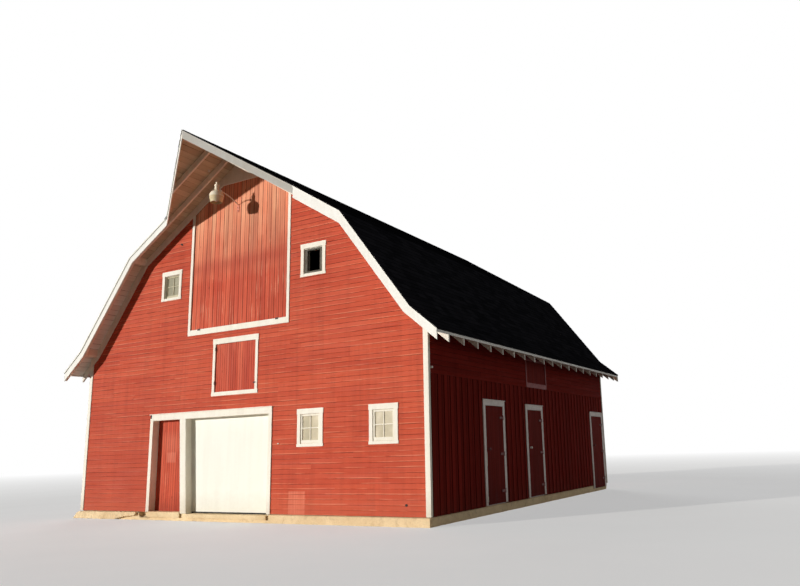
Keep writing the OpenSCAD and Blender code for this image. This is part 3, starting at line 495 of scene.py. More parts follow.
# a darker copy of the glass for the small window high in the front wall: painted shade
shadedGlass = dustyGlass("shadedUpperGlass", (158, 154, 128), (184, 176, 148), (138, 134, 110))
ribbedGlass = dustyGlass("ribbedRefractor", (250, 232, 188), (232, 208, 160), (200, 172, 124), 0.15)
creamEnamel = metalPaint("creamEnamel", (255, 247, 224), (240, 226, 192), (150, 106, 70), 0.34, 0.3)
armPaint = metalPaint("agedArmEnamel", (246, 228, 208), (220, 194, 170), (130, 90, 66), 0.5, 0.3)
platePaint = metalPaint("plateOverpaint", (232, 140, 108), (208, 108, 80), (120, 62, 42), 0.65)
darkIron = metalPaint("darkIron", (70, 50, 44), (46, 34, 32), (112, 62, 40), 0.6)
paintedIron = metalPaint("overpaintedIron", (84, 28, 23), (64, 20, 17), (84, 44, 34), 0.7)
# black rubber for the garage seal; the same black stands for painted shade in the holes and the gap in the
# front wall
rubberAndPaintedShade = metalPaint("blackRubberAndPaintedShade", (44, 34, 30), (26, 21, 19), (84, 64, 50), 0.8, 0.3)
porcelain = metalPaint("whitePorcelain", (236, 232, 220), (218, 212, 196), (150, 140, 120), 0.25, 0.1)
print("materials made")


# boards
def boardMaster(length, width, thick, chamfer, rings):
    # lies along X with its good face up; both long edges of that face are cut off by chamfer
    obj = block((0, 0, 0), (length, width, thick))
    startEdit(obj, "EDGE")
    longEdge = lambda e: abs(e.verts[0].co.x - e.verts[1].co.x) > length / 2
    choose(obj, "edges", lambda e: longEdge(e) and e.verts[0].co.z > thick * 0.9)
    bpy.ops.mesh.bevel(offset=chamfer, segments=1)
    if rings:
        choose(obj, "edges", longEdge)
        bpy.ops.mesh.subdivide(number_cuts=rings)
    stopEdit()
    points = np.array([v.co[:] for v in obj.data.vertices])
    faces = [list(p.vertices) for p in obj.data.polygons]
    bpy.data.objects.remove(obj)
    return {"points": points, "faces": faces, "length": length, "width": width, "thick": thick}


def spread(values, old, new, keep):
    # what lies near an end keeps its distance from it, and the rest spreads evenly
    out = values * new / old
    near, far = values < keep, values > old - keep
    out[near] = np.minimum(values[near], new / 2)
    out[far] = np.maximum(new - (old - values[far]), new / 2)
    return out


def boardSpot(u0, u1, v0, v1, back, low, high=None, **more):
    # from u0 to u1 along and v0 to v1 across, with its back and both edges of its face at these levels
    return dict(u0=u0, u1=u1, v0=v0, v1=v1, back=back, low=low, high=low if high is None else high, **more)


def layBoards(name, master, spots, origin, along, across, outward, material, seed, wave=0.0):
    # copies the master board to every spot as one mesh; each board gets its own tone and its own grain
    dice = random.Random(seed)
    origin, along, across, outward = (np.array(v, float) for v in (origin, along, across, outward))
    turned = np.dot(np.cross(along, across), outward) < 0
    points, faces, tones, shares, grains = [], [], [], [], []
    count = 0
    for spot in spots:
        base = master["points"]
        width = spot["v1"] - spot["v0"]
        u = spread(base[:, 0].copy(), master["length"], spot["u1"] - spot["u0"], 0.01) + spot["u0"]
        v = spread(base[:, 1].copy(), master["width"], width, master["width"] * 0.4)
        first, last = spot.get("shares", (0.0, 1.0))
        shares.append(first + np.clip(v / width, 0, 1) * (last - first))
        v = v + spot["v0"]
        if "startLine" in spot:
            u = np.maximum(u, spot["startLine"](v))
        level = spot["low"] + (spot["high"] - spot["low"]) * (v - spot["v0"]) / width
        rise = base[:, 2] / master["thick"]
        w = spot["back"] + rise * (level - spot["back"])
        if wave:
            p1, p2, p3 = (dice.uniform(0, 6.28) for _ in range(3))
            v = v + wave * (np.sin(1.9 * u + p1) + 0.6 * np.sin(4.3 * u + p2)) / 1.6
            w = w + wave * 0.35 * rise * (np.sin(1.4 * u + p3) - 0.3)
        tone = spot.get("tone", dice.random())
        points.append(origin + np.outer(u, along) + np.outer(v, across) + np.outer(w, outward))
        for face in master["faces"]:
            row = [i + count for i in face]
            faces.append(row[::-1] if turned else row)
        tones.append(np.full(len(u), tone))
        grains.append(np.stack([u + dice.uniform(0, 40), v - spot["v0"] + dice.uniform(0, 40),
                                w + tone * 9], 1))
        count += len(u)
    mesh = bpy.data.meshes.new(name)
    mesh.from_pydata(np.concatenate(points).tolist(), [], faces)
    mesh.update()
    for label, kind, values in (("tone", "FLOAT", tones), ("across", "FLOAT", shares),
                                ("grain", "FLOAT_VECTOR", grains)):
        layer = mesh.attributes.new(label, kind, "POINT")
        layer.data.foreach_set("vector" if kind == "FLOAT_VECTOR" else "value",
                               np.concatenate(values).astype(np.float32).ravel())
    mesh.materials.append(material)
    return linked(name, mesh)


def nodeCopy(nodeName, pieceName, edge=0.0):
    # a merged copy of the node with its edges taken off; the cut edges are marked for the wear
    mesh = nodes[nodeName].data.copy()
    mesh.name = pieceName
    obj = linked(pieceName, mesh)
    startEdit(obj, action="SELECT")
    bpy.ops.mesh.remove_doubles(threshold=0.0002)
    bpy.ops.mesh.dissolve_limited(angle_limit=math.radians(0.6))
    stopEdit()
    if edge:
        spare = bpy.data.materials.get("spare") or bpy.data.materials.new("spare")
        paint(obj, spare, spare)
        modify(obj, "BEVEL", width=edge, segments=1, limit_method="ANGLE", angle_limit=math.radians(28),
               material=1)
        marks = np.zeros(len(obj.data.polygons), np.int32)
        obj.data.polygons.foreach_get("material_index", marks)
        layer = obj.data.attributes.new("edge", "FLOAT", "FACE")
        layer.data.foreach_set("value", marks.astype(np.float32))
        obj.data.polygons.foreach_set("material_index", np.zeros(len(marks), np.int32))
    return obj


def roofReach(z, depth):
    # half the width at height z of what lies depth below the roof line
    reach = []
    for (x0, z0), (x1, z1) in slopes:
        drop = depth * math.hypot(x1 - x0, z1 - z0) / (x1 - x0)
        reach.append(x0 + (z + drop - z0) * (x1 - x0) / (z1 - z0))
    return min(reach[0], max(reach[1], reach[2]))


# lap siding: the height that a board shows, how far it goes up behind the next, how far its edges stand out
lap = {"show": 0.1016, "tuck": 0.012, "thick": 0.0135, "thin": 0.005, "shortest": 0.9, "short": 2.4,
       "longest": 4.9, "back": -0.006, "wave": 0.0026, "joint": 0.001, "leastHigh": 0.03, "leastWide": 0.3,
       "leastStrip": 0.05, "peak": 8.3, "underRoof": 0.026, "margin": 0.01, "halfMost": 5.06}
lapMaster = boardMaster(3.0, 0.1136, 0.016, 0.0015, 7)


def cutSpans(spans, holes, low, high):
    for x0, x1, z0, z1 in holes:
        if z0 < high and z1 > low:
            left = []
            for a, b in spans:
                if x1 <= a or x0 >= b:
                    left.append((a, b))
                    continue
                left += [(p, q) for p, q in ((a, x0), (x1, b)) if q - p > 0.01]
            spans = left
    return spans


def lapSpots(seed, foot, top, spanAt, holes, thick):
    dice = random.Random(seed)
    thin = min(lap["thin"], thick * 0.5)
    spots = []
    z = foot
    while z < top - lap["leastHigh"]:
        high = min(z + lap["show"], top)
        full = spanAt(high)
        if full[1] - full[0] < lap["leastWide"]:
            break
        tip = high + lap["tuck"]
        for a, b in cutSpans([full], holes, z, high):
            at = a
            run = dice.uniform(lap["shortest"], lap["longest"])
            while at < b:
                end = b if b - at - run < lap["shortest"] else at + run
                spots.append(boardSpot(at + lap["joint"], min(end, b) - lap["joint"], z, tip, lap["back"],
                                       thick + dice.uniform(-0.0015, 0.0005), thin))
                at = end
                run = dice.uniform(lap["short"], lap["longest"])
        # the strips that are left below and above an opening
        for x0, x1, z0, z1 in holes:
            a, b = max(x0, full[0]), min(x1, full[1])
            for cut in (z0, z1):
                if b - a < lap["leastStrip"] or not z < cut < high:
                    continue
                share = (cut - z) / (tip - z)
                level = thick + (thin - thick) * share
                if cut == z0:
                    spots.append(boardSpot(a, b, z, cut, lap["back"], thick, level, shares=(0.0, share)))
                else:
                    spots.append(boardSpot(a, b, cut, tip, lap["back"], level, thin, shares=(share, 1.0)))
        z += lap["show"]
    return spots


windows = {"half": 0.255, "sill": 0.062, "lowerX": [2.210, 4.050], "upperX": [-2.200, 2.238],
           "lower": (1.550, 0.673), "upper": (5.186, 0.629)}
# the windows of the back, as seen from behind
backX = {"lower": [side * x for x in windows["lowerX"] for side in (-1, 1)],
         "upper": [-x for x in windows["upperX"]]}
doorwayHole = (-2.604, 1.090, 0.0, 2.305)
hayHole = (-1.475, 1.505, 4.360, 9.0)
loftHole = (-0.603, 0.633, 2.842, 3.944)


def windowHole(x, row):
    z, top = windows[row]
    return (x - windows["half"], x + windows["half"], z + windows["sill"], z + top)


def gableSpan(z):
    reach = min(roofReach(z + lap["tuck"], lap["underRoof"]) - lap["margin"], lap["halfMost"])
    return (-reach, reach)


frontHoles = [windowHole(x, row) for row in ("lower", "upper") for x in windows[row + "X"]]
frontHoles += [doorwayHole, hayHole, loftHole]
backHoles = [windowHole(x, row) for row in ("lower", "upper") for x in backX[row]]
for name, y, out, holes, material, seeds in (("frontLapSiding", frontY, -1, frontHoles, frontPaint, (3, 11)),
                                             ("backLapSiding", backY, 1, backHoles, lapPaint, (5, 12))):
    spots = lapSpots(seeds[0], footZ, lap["peak"], gableSpan, holes, lap["thick"])
    settle(layBoards(name, lapMaster, spots, (0, y, 0), (-out, 0, 0), up, (0, out, 0), material, seeds[1],
                     lap["wave"]), "red_siding")

# lap siding in a band under both eaves, with a board along its foot
band = {"low": 2.940, "high": 3.757, "thick": 0.0165, "board": (2.862, 2.944), "boardOut": 0.0235,
        "end": 0.047}
bandSpan = (frontY + band["end"], backY - band["end"])
hatchHole = (frontY + 4.730, frontY + 6.090, 2.870, 3.610)
bands = []
for side, holes, seeds in ((1, [hatchHole], (7, 13)), (-1, [], (9, 14))):
    spots = lapSpots(seeds[0], band["low"], band["high"], lambda z: bandSpan, holes, band["thick"])
    bands.append(layBoards("lapBand", lapMaster, spots, (side * sideX, 0, 0), (0, side, 0), up, (side, 0, 0),
                           sidePaint, seeds[1], lap["wave"]))
settle(joinAll(bands, "sideLapBands"), "red_siding", "lap_siding")
print("lap siding laid")


# boards and battens of the side walls; the battens start anew behind each door: first one, step and count
batten = {"wide": 0.118, "out": 0.021, "under": 0.006, "back": -0.004, "top": 2.90,
          "first": 0.045, "last": 10.90,
          "runs": [(0.14, 0.25, 9), (2.29, 0.25, 5), (3.53, 0.2445, 5), (4.76, 0.25, 5), (6.03, 0.2567, 19)]}
battenMaster = boardMaster(2.7, 0.118, 0.02, 0.004, 5)
# side doors, from the front face: place and width of the leaf, its foot and top; then start, end and
# top of the trim
sideDoors = {"front": {"leaf": (2.375, 0.887, 0.212, 2.333), "trim": (2.270, 3.367, 2.43)},
             "middle": {"leaf": (4.700, 0.910, 0.212, 2.307), "trim": (4.595, 5.715, 2.40)},
             "rear": {"leaf": (9.700, 1.010, 0.105, 2.268), "trim": (9.595, 10.86, 2.37)}}
# start and end of the boards along the foot of the lap band, for the right and the left wall
ledgers = {1: ((0.0, 4.66), (6.06, 10.851)), -1: ((0.0, 3.6), (3.603, 7.4), (7.403, 10.851))}


def battenRows(doors):
    rows = [y for run in batten["runs"] for y in steps(*run)]
    edges = [batten["first"]] + [(a + b) / 2 for a, b in zip(rows, rows[1:])] + [batten["last"]]
    spots, panels = [], []
    dice = random.Random(21)
    half = batten["wide"] / 2
    for y, a, b in zip(rows, edges, edges[1:]):
        y, a, b = y + frontY, a + frontY, b + frontY
        foot = footZ
        for d0, d1, top in doors:
            if y + 0.03 > d0 and y - 0.03 < d1:
                foot = top
        pieces = [(a, b, foot)]
        for d0, d1, top in doors:
            if a < d0 < b:
                pieces = [(a, d0, footZ), (d0, b, top)]
            if a < d1 < b:
                pieces = [(a, d1, top), (d1, b, footZ)]
        spots.append(boardSpot(foot, batten["top"], y - half, y + half, batten["back"], batten["out"],
                               batten["out"] + dice.uniform(-0.002, 0.0)))
        panels += [boardSpot(low, batten["top"], p0, p1, batten["back"], batten["under"])
                   for p0, p1, low in pieces]
    return spots, panels


sideBoards = []
rightDoors = [(frontY + y0, frontY + y1, top)
              for y0, y1, top in (door["trim"] for door in sideDoors.values())]
for side, doors, seed in ((1, rightDoors, 31), (-1, [], 37)):
    spots, panels = battenRows(doors)
    wall, out = (side * sideX, 0, 0), (side, 0, 0)
    ends = [(bandSpan[0] + a, bandSpan[0] + b) for a, b in ledgers[side]]
    ledger = [boardSpot(a, b, *band["board"], batten["back"], band["boardOut"], tone=0.2 + 0.2 * n)
              for n, (a, b) in enumerate(ends)]
    sideBoards += [
        layBoards("panels", battenMaster, panels, wall, up, north, out, panelPaint, seed, 0.001),
        layBoards("battens", battenMaster, spots, wall, up, north, out, battenPaint, seed + 1, 0.0015),
        layBoards("ledger", lapMaster, ledger, wall, north, up, out, battenPaint, seed + 2, 0.0015)]
settle(joinAll(sideBoards, "sideBoardsAndBattens"), "red_siding")
print("side boards laid")


# hay door and loft door
hayDoor = {"joints": 21, "first": -1.324, "wide": 0.1355, "foot": 4.362, "steep": 0.6351, "below": 0.06}
hayMaster = boardMaster(3.6, 0.1355, 0.03, 0.0045, 6)
dice = random.Random(41)
joints = [x + dice.uniform(-0.003, 0.003)
          for x in steps(hayDoor["first"], hayDoor["wide"], hayDoor["joints"])]
spots = []
for at, end in zip([hayHole[0]] + joints, joints + [hayHole[1]]):
    top = roofLine[0][1] - hayDoor["steep"] * min(abs(at), abs(end)) - hayDoor["below"]
    spots.append(boardSpot(hayDoor["foot"] + dice.uniform(0, 0.006), top, at, end, -0.036,
                           -0.004 - dice.uniform(0, 0.003), -0.004 - dice.uniform(0, 0.003)))
settle(layBoards("hayDoorBoards", hayMaster, spots, frontWall, up, east, south, hayPaint, 42, 0.0012),
       "faded_door", "hay_door")

loftDoor = {"boards": 18, "foot": 2.844, "top": 3.942}
beadMaster = boardMaster(1.1, 0.0687, 0.03, 0.0045, 3)
dice = random.Random(43)
wide = (loftHole[1] - loftHole[0]) / loftDoor["boards"]
spots = [boardSpot(loftDoor["foot"], loftDoor["top"], x, x + wide, -0.036, -0.005 - dice.uniform(0, 0.002),
                   -0.005 - dice.uniform(0, 0.002)) for x in steps(loftHole[0], wide, loftDoor["boards"])]
settle(layBoards("loftDoorBoards", beadMaster, spots, frontWall, up, east, south, loftPaint, 44, 0.0006),
       "faded_door", "loft_door")
print("upper doors laid")


# roof: boards, shingles, ridge
def slopeAxes(index, side):
    (x0, z0), (x1, z1) = slopes[index]
    run = math.hypot(x1 - x0, z1 - z0)
    down = (side * (x1 - x0) / run, 0, (z1 - z0) / run)
    return (side * x0, 0, z0), down, (side * (z0 - z1) / run, 0, (x1 - x0) / run), run


def hoodReach(lapOver):
    run = hood["reach"] - hood["over"]
    return run, hood["reach"] + lapOver * math.hypot(hood["half"], run) / hood["half"]


def hoodLine(lapOver, drop):
    # the front edge of the upper slope as a function of the way down the slope
    run, reach = hoodReach(lapOver)
    return lambda v: frontY - reach + np.maximum(v, 0) * drop * run / hood["half"]


roofBoard = {"wide": 0.146, "thick": 0.025, "shortest": 1.5, "longest": 4.2, "inset": 0.0225, "gap": 0.001}
roofMaster = boardMaster(3.0, 0.146, 0.025, 0.003, 3)


def roofBoardSpots(index, side):
    down, run = slopeAxes(index, side)[1::2]
    count = round(run / roofBoard["wide"])
    wide = run / count
    lineAt = hoodLine(-0.023, abs(down[0]))
    first, stop = frontEdge + roofBoard["inset"], backEdge - roofBoard["inset"]
    dice = random.Random(50 + index + 7 * side)
    spots = []
    for v0 in steps(0, wide, count):
        at, more = first, {}
        if index == 0 and v0 * abs(down[0]) < hood["half"] - 0.02:
            at = min(first, float(lineAt(v0)))
            more["startLine"] = lambda v: np.minimum(lineAt(v), first)
        while at < stop:
            end = at + dice.uniform(roofBoard["shortest"], roofBoard["longest"])
            if stop - end < 1.0:
                end = stop
            spots.append(boardSpot(at + roofBoard["gap"], end - roofBoard["gap"], v0 + roofBoard["gap"],
                                   v0 + wide - roofBoard["gap"], 0.0, roofBoard["thick"],
                                   roofBoard["thick"] - dice.uniform(0, 0.0015), **more))
            at = end
    return spots


sides = ((1, "right"), (-1, "left"))
for side, sideTag in sides:
    for tag, indices in (("upper", [0]), ("lower", [1, 2])):
        parts = []
        for index in indices:
            origin, down, out, run = slopeAxes(index, side)
            parts.append(layBoards("boards", roofMaster, roofBoardSpots(index, side), origin, north, down,
                                   tuple(-c for c in out), soffitPaint, 60 + index + 10 * (side > 0)))
        name = tag + "_" + sideTag
        settle(joinAll(parts, "roofBoards_" + name), "plain_boards", "roof_boards_" + name)

tab = {"wide": 0.305, "show": 0.143, "head": 0.022, "butt": 0.0312, "under": 0.012, "gap": 0.004,
       "over": 0.013, "tuck": 0.045, "shift": 0.15, "least": 0.02}
tabMaster = boardMaster(0.305, 0.19, 0.012, 0.0015, 0)
ridgeCap = {"long": 0.2, "wide": 0.135, "back": 0.014, "low": 0.0318, "high": 0.0315, "odd": 0.0012,
            "start": 0.01, "over": 0.012, "joint": 0.003, "across": -0.004}


def underlay(side, nodeName):
    # a thin sheet that keeps the outline of the CAD node; the tabs lie on it
    sheet = nodeCopy(nodeName, "underlay")
    for v in sheet.data.vertices:
        x, y, z = abs(v.co.x), v.co.y, v.co.z
        best = None
        for (x0, z0), (x1, z1) in slopes:
            dx, dz = x1 - x0, z1 - z0
            t = min(max(((x - x0) * dx + (z - z0) * dz) / (dx * dx + dz * dz), 0), 1)
            near = (x0 + t * dx, z0 + t * dz)
            gap = math.hypot(x - near[0], z - near[1])
            if best is None or gap < best[0]:
                best = (gap, near)
        gap, near = best
        thin = 0.55 if gap > 0.005 else 1.0
        inset = 0.0025 if y < 0 else -0.0025
        v.co = ((near[0] + (x - near[0]) * thin) * side, y + inset, near[1] + (z - near[1]) * thin)
    sheet.data.update()
    return paint(sheet, shingles)


def tabSpots(index, side):
    origin, down, out, run = slopeAxes(index, side)
    length = run + ((tab["over"] - 0.031 * abs(out[0])) / abs(down[0]) if index == 2 else 0.006)
    count = round(length / tab["show"])
    show = length / count
    lineAt = hoodLine(0.012, abs(down[0]))
    start, stop = frontEdge - tab["over"], backEdge + tab["over"]
    dice = random.Random(70 + index + 5 * side)
    spots = []
    for k in range(count):
        v0, v1 = max(k * show - tab["tuck"], 0.0), (k + 1) * show
        inHood = index == 0 and v0 * abs(down[0]) < hood["half"]
        first = min(start, float(lineAt(v0))) if inHood else start
        at = start - math.ceil((start - first) / tab["wide"]) * tab["wide"] + dice.uniform(-tab["shift"], 0.0)
        slip = dice.uniform(-0.004, 0.003)
        while at < stop:
            a, b = max(at, first), min(at + tab["wide"] - tab["gap"], stop)
            if b - a > tab["least"] and not (inHood and b < float(lineAt(v1)) and b < start):
                more = {"startLine": lambda v: np.minimum(lineAt(v), start)} if inHood and a < start else {}
                spots.append(boardSpot(a, b, v0, min(v1 + slip, length), tab["under"], tab["head"],
                                       tab["butt"] - dice.uniform(0, 0.003), **more))
            at += tab["wide"]
    return spots


def capSpots(lineAt):
    spots = []
    at = frontY - hood["reach"] + ridgeCap["start"]
    while at < backEdge:
        end = min(at + ridgeCap["long"], backEdge + ridgeCap["over"])
        odd = ridgeCap["odd"] * (len(spots) % 2)
        spots.append(boardSpot(at, end - ridgeCap["joint"], ridgeCap["across"], ridgeCap["wide"],
                               ridgeCap["back"], ridgeCap["low"] - odd, ridgeCap["high"] - odd,
                               startLine=lineAt))
        at = end
    return spots


for side, sideTag in sides:
    parts = [underlay(side, "shingles_" + sideTag)]
    for index in range(3):
        origin, down, out, run = slopeAxes(index, side)
        parts.append(layBoards("tabs", tabMaster, tabSpots(index, side), origin, north, down, out, shingles,
                               80 + index + 9 * (side > 0)))
    origin, down, out, run = slopeAxes(0, side)
    caps = capSpots(hoodLine(0.010, abs(down[0])))
    parts.append(layBoards("caps", tabMaster, caps, origin, north, down, out, shingles, 95 + side))
    settle(joinAll(parts, "roofShingles_" + sideTag), "shingles", "shingles_" + sideTag)
print("roof laid")

# thin white edging in front of the shingles, at both gables; it covers their edge on the left slopes only
edging = {"foot": -0.006, "top": {1: 0.008, -1: 0.0305}, "near": 0.0131, "thick": 0.0008, "reach": 5.5565}


def edgingLine(side, lapOver, isFront):
    # corners of the roof edge from the ridge down: place and the offset of one metre outwards
    outs = [slopeAxes(i, side)[2] for i in range(3)]
    flat = frontEdge - lapOver if isFront else backEdge + lapOver
    run, reach = hoodReach(lapOver)
    corners = [((0.0, frontY - reach if isFront else flat, roofLine[0][1]), (0.0, 0.0, 1 / outs[0][2]))]
    if isFront:
        x = (reach - hood["over"] - lapOver) * hood["half"] / run
        z = roofLine[0][1] + (roofLine[1][1] - roofLine[0][1]) * x / roofLine[1][0]
        corners.append(((side * x, flat, z), outs[0]))
    for k in (1, 2):
        both = Vector(outs[k - 1]) + Vector(outs[k])
        corners.append(((side * roofLine[k][0], flat, roofLine[k][1]), both * 2 / both.length_squared))
    corners.append(((side * roofLine[3][0], flat, roofLine[3][1]), outs[2]))
    return corners


def edgeStrip(top, near, far):
    # a long bar whose rings of four corners are set on the two lines of corners
    count = len(near) - 1
    strip = block((0, 0, 0), (count, 1, 1))
    startEdit(strip, "EDGE")
    choose(strip, "edges", lambda e: abs(e.verts[0].co.x - e.verts[1].co.x) > 0.5)
    bpy.ops.mesh.subdivide(number_cuts=count - 1)
    stopEdit()
    for v in strip.data.vertices:
        base, out = (near, far)[round(v.co.y)][round(v.co.x)]
        v.co = Vector(base) + Vector(out) * (top if v.co.z > 0.5 else edging["foot"])
        v.co.x = max(-edging["reach"], min(edging["reach"], v.co.x))
    return strip


strips = [edgeStrip(edging["top"][side], *(edgingLine(side, edging["near"] + thick, isFront)
                                           for thick in (0.0, edging["thick"])))
          for side in (1, -1) for isFront in (True, False)]
strips = paint(joinAll(strips, "roofEdging"), hoodPaint)
startEdit(strips, "FACE", "SELECT")
bpy.ops.mesh.normals_make_consistent(inside=False)
stopEdit()
settle(strips, "white_trim")
print("roof edging laid")

# rafters, roof edges and trim: node, name of the piece, edge taken off, material, slot
for nodeName, pieceName, edge, material, slotName in (
        ("rafters_left", "rafterTails_left", 0.003, rafterPaint, "white_trim"),
        ("rafters_right", "rafterTails_right", 0.003, rafterPaint, "white_trim"),
        ("outer_rafters", "gableRafters", 0.004, hoodRafterPaint, "white_trim"),
        ("eave_blocks", "eaveBlocking", 0.003, darkTrim, "red_siding"),
        ("eave_boards", "eaveEdgeBoards", 0.003, rakePaint, "white_trim"),
        ("rake_boards", "gableEdgeBoards", 0.0035, rakePaint, "white_trim"),
        ("hood_boards", "hoodEdgeBoards", 0.0035, hoodPaint, "white_trim"),
        ("gable_frieze", "gableFriezeBoards", 0.003, friezePaint, "white_trim"),
        ("corner_boards", "cornerTrim", 0.004, whitePaint, "white_trim"),
        ("front_door_frame", "doorwayTrim", 0.0035, whitePaint, "white_trim"),
        ("side_door_frames", "sideDoorTrim", 0.003, shadePaint, "white_trim"),
        ("window_frames", "windowTrim", 0.003, whitePaint, "white_trim"),
        ("old_window_frame", "oldWindowFrame", 0.003, oldFramePaint, "plain_boards"),
        ("gable_door_trim", "upperDoorTrim", 0.003, whitePaint, "white_trim"),
        ("ridge_board", "ridgeBeam", 0.004, hoodRafterPaint, "plain_boards")):
    settle(paint(nodeCopy(nodeName, pieceName, edge), material), slotName, nodeName)
for nodeName in ("front_wall_left", "front_wall_right", "front_gable_wall", "back_wall", "back_gable_wall",
                 "left_wall", "right_wall_panels", "right_wall_upper", "loft_floor"):
    paint(nodes[nodeName], insideWood)
paint(nodes["floor_slab"], slabStone)
paint(nodes["window_glass"], glass, shadedGlass)
print("trim dressed")

# footing, ledge and sills, cast and broken: node, name of the piece, grid and roughness
for nodeName, pieceName, voxel, rough in (("foundation", "footingWall", 0.032, 0.012),
                                          ("front_ledge", "brokenLedge", 0.012, 0.03),
                                          ("front_sills", "doorSills", 0.012, 0.008)):
    piece = nodeCopy(nodeName, pieceName)
    modify(piece, "REMESH", mode="VOXEL", voxel_size=voxel)
    cloud = bpy.data.textures.new(pieceName + "Cloud", "CLOUDS")
    cloud.noise_scale = voxel * 5
    cloud.noise_depth = 3
    modify(piece, "DISPLACE", texture=cloud, texture_coords="LOCAL", strength=rough, mid_level=0.75)
    for v in piece.data.vertices:
        v.co.z = max(v.co.z, 0.0)
    smooth(piece)
    settle(paint(piece, footing), "concrete", nodeName)
print("footing roughened")


# hinged doors
def pushFace(obj, axis, level, depth):
    # moves the flat face at level back by depth, to make room for the boards that lie on it
    for v in obj.data.vertices:
        if abs(v.co[axis] - level) < 0.0006:
            v.co[axis] -= depth


frontDoor = {"x0": -2.602, "z0": 0.176, "face": frontY + 0.154, "boards": 15, "room": 0.008, "back": -0.0085,
             "hinges": 0.037, "side": 0.001, "top": 0.0005}
low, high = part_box("front_door")
leaf = nodeCopy("front_door", "frontDoorLeaf")
pushFace(leaf, 1, frontDoor["face"], -frontDoor["room"])
paint(leaf, doorPaint, darkIron)
mark(leaf, 1, lambda c: c.y > frontDoor["face"] + frontDoor["hinges"])
wide = (high.x - frontDoor["side"] - frontDoor["x0"]) / frontDoor["boards"]
spots = [boardSpot(frontDoor["z0"], high.z - frontDoor["top"], x, x + wide, frontDoor["back"], 0.0)
         for x in steps(frontDoor["x0"], wide, frontDoor["boards"])]
boards = layBoards("leafBoards", beadMaster, spots, (0, frontDoor["face"], 0), up, east, south,
                   doorPaint, 101)
settle(joinAll([leaf, boards], "frontDoorLeaf"), "red_siding", "front_door", body="front_door")

sideLeaf = {"x": sideX + 0.022, "boards": 8, "seam": 1.18, "knob": (0.090, 1.385, 0.035),
            "tones": (0.6, 0.35), "room": 0.007, "back": -0.0075, "margin": 0.008, "margins": 0.013,
            "gap": 0.002, "foot": 0.0005, "top": 0.0055}
for tag, door in sideDoors.items():
    node = "side_door_" + tag
    y, wide, z0, z1 = door["leaf"]
    y += frontY
    knobY, knobZ, knobHalf = sideLeaf["knob"]
    leaf = nodeCopy(node, "leaf")
    pushFace(leaf, 0, sideLeaf["x"], sideLeaf["room"])
    paint(leaf, sideDoorPaint, porcelain if tag == "middle" else paintedIron, paintedIron)
    mark(leaf, 2, lambda c: c.x > sideLeaf["x"] + 0.0004)
    mark(leaf, 1, lambda c: c.x > sideLeaf["x"] + 0.0005 and abs(c.y - y - knobY) < knobHalf
         and abs(c.z - knobZ) < knobHalf)
    step = (wide - sideLeaf["margins"]) / sideLeaf["boards"]
    spots = [boardSpot(u0, u1, v, v + step, sideLeaf["back"], 0.0, tone=sideLeaf["tones"][k % 2])
             for k, v in enumerate(steps(y + sideLeaf["margin"], step, sideLeaf["boards"]))
             for u0, u1 in ((z0 + sideLeaf["foot"], sideLeaf["seam"] - sideLeaf["gap"]),
                            (sideLeaf["seam"] + sideLeaf["gap"], z1 - sideLeaf["top"]))]
    boards = layBoards("leafBoards", beadMaster, spots, (sideLeaf["x"], 0, 0), up, north, east,
                       sideDoorPaint, 110)
    settle(joinAll([leaf, boards], "sideDoorLeaf_" + tag), "dark_door", node, body=node)

# garage door, with a dark rubber seal along its foot; its black also gives the painted shade of the gap under
# the door
settle(paint(nodeCopy("garage_door", "garagePanel", 0.004), garagePaint), "white_trim", "garage_door")
low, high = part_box("garage_door")
seal = block((low.x + 0.001, low.y - 0.013, low.z), (1.069, low.y + 0.001, low.z + 0.030))
startEdit(seal, "EDGE")
choose(seal, "edges", lambda e: all(v.co.y < low.y - 0.01 for v in e.verts))
bpy.ops.mesh.bevel(offset=0.006, segments=3)
stopEdit()
seal.name = "garageDoorSeal"
settle(paint(seal, rubberAndPaintedShade), "white_trim")

# hatch in the side wall: upright boards inside its frame
hatch = {"boards": 9, "y": frontY + 4.792, "wide": 1.236, "foot": 2.992, "top": 3.548, "out": 0.006}
dice = random.Random(47)
wide = hatch["wide"] / hatch["boards"]
spots = [boardSpot(hatch["foot"], hatch["top"], y, y + wide, 0.0, hatch["out"],
                   hatch["out"] - dice.uniform(0, 0.002))
         for y in steps(hatch["y"], wide, hatch["boards"])]
parts = [paint(nodeCopy("side_hatch", "hatchFrame", 0.003), darkTrim),
         layBoards("hatchBoards", beadMaster, spots, rightWall, up, north, east, sideDoorPaint, 120)]
settle(joinAll(parts, "sideHatchBoards"), "dark_door", "side_hatch")
print("doors made")

# window sashes: the frame of the node and two crossing bars; their fronts are given from the wall and
# their heights from the foot of the window
sash = {"lowerFront": -0.008, "upperFront": 0.034, "halfGlass": 0.211, "glassLow": 0.134, "above": 0.044,
        "halfBar": 0.010, "overlap": 0.004, "edge": 0.003}


def bar(low, high, edge):
    obj = block(low, high)
    startEdit(obj, "EDGE", "SELECT")
    bpy.ops.mesh.bevel(offset=edge, segments=1)
    stopEdit()
    return obj


def copyAt(obj, offset, turned=False):
    mesh = obj.data.copy()
    mesh.transform(Matrix.Translation(offset) @ Matrix.Rotation(math.pi if turned else 0.0, 4, "Z"))
    return linked(obj.name + "Copy", mesh)


def crossBars(front, glassHigh):
    low, half, thick, over = sash["glassLow"], sash["halfGlass"], sash["halfBar"], sash["overlap"]
    middle = (low + glassHigh) / 2
    return joinAll([
        bar((-thick, front + 0.003, low - over), (thick, front + 0.029, glassHigh + over), sash["edge"]),
        bar((-half - over, front + 0.004, middle - thick), (half + over, front + 0.028, middle + thick),
            sash["edge"])], "crossBars")


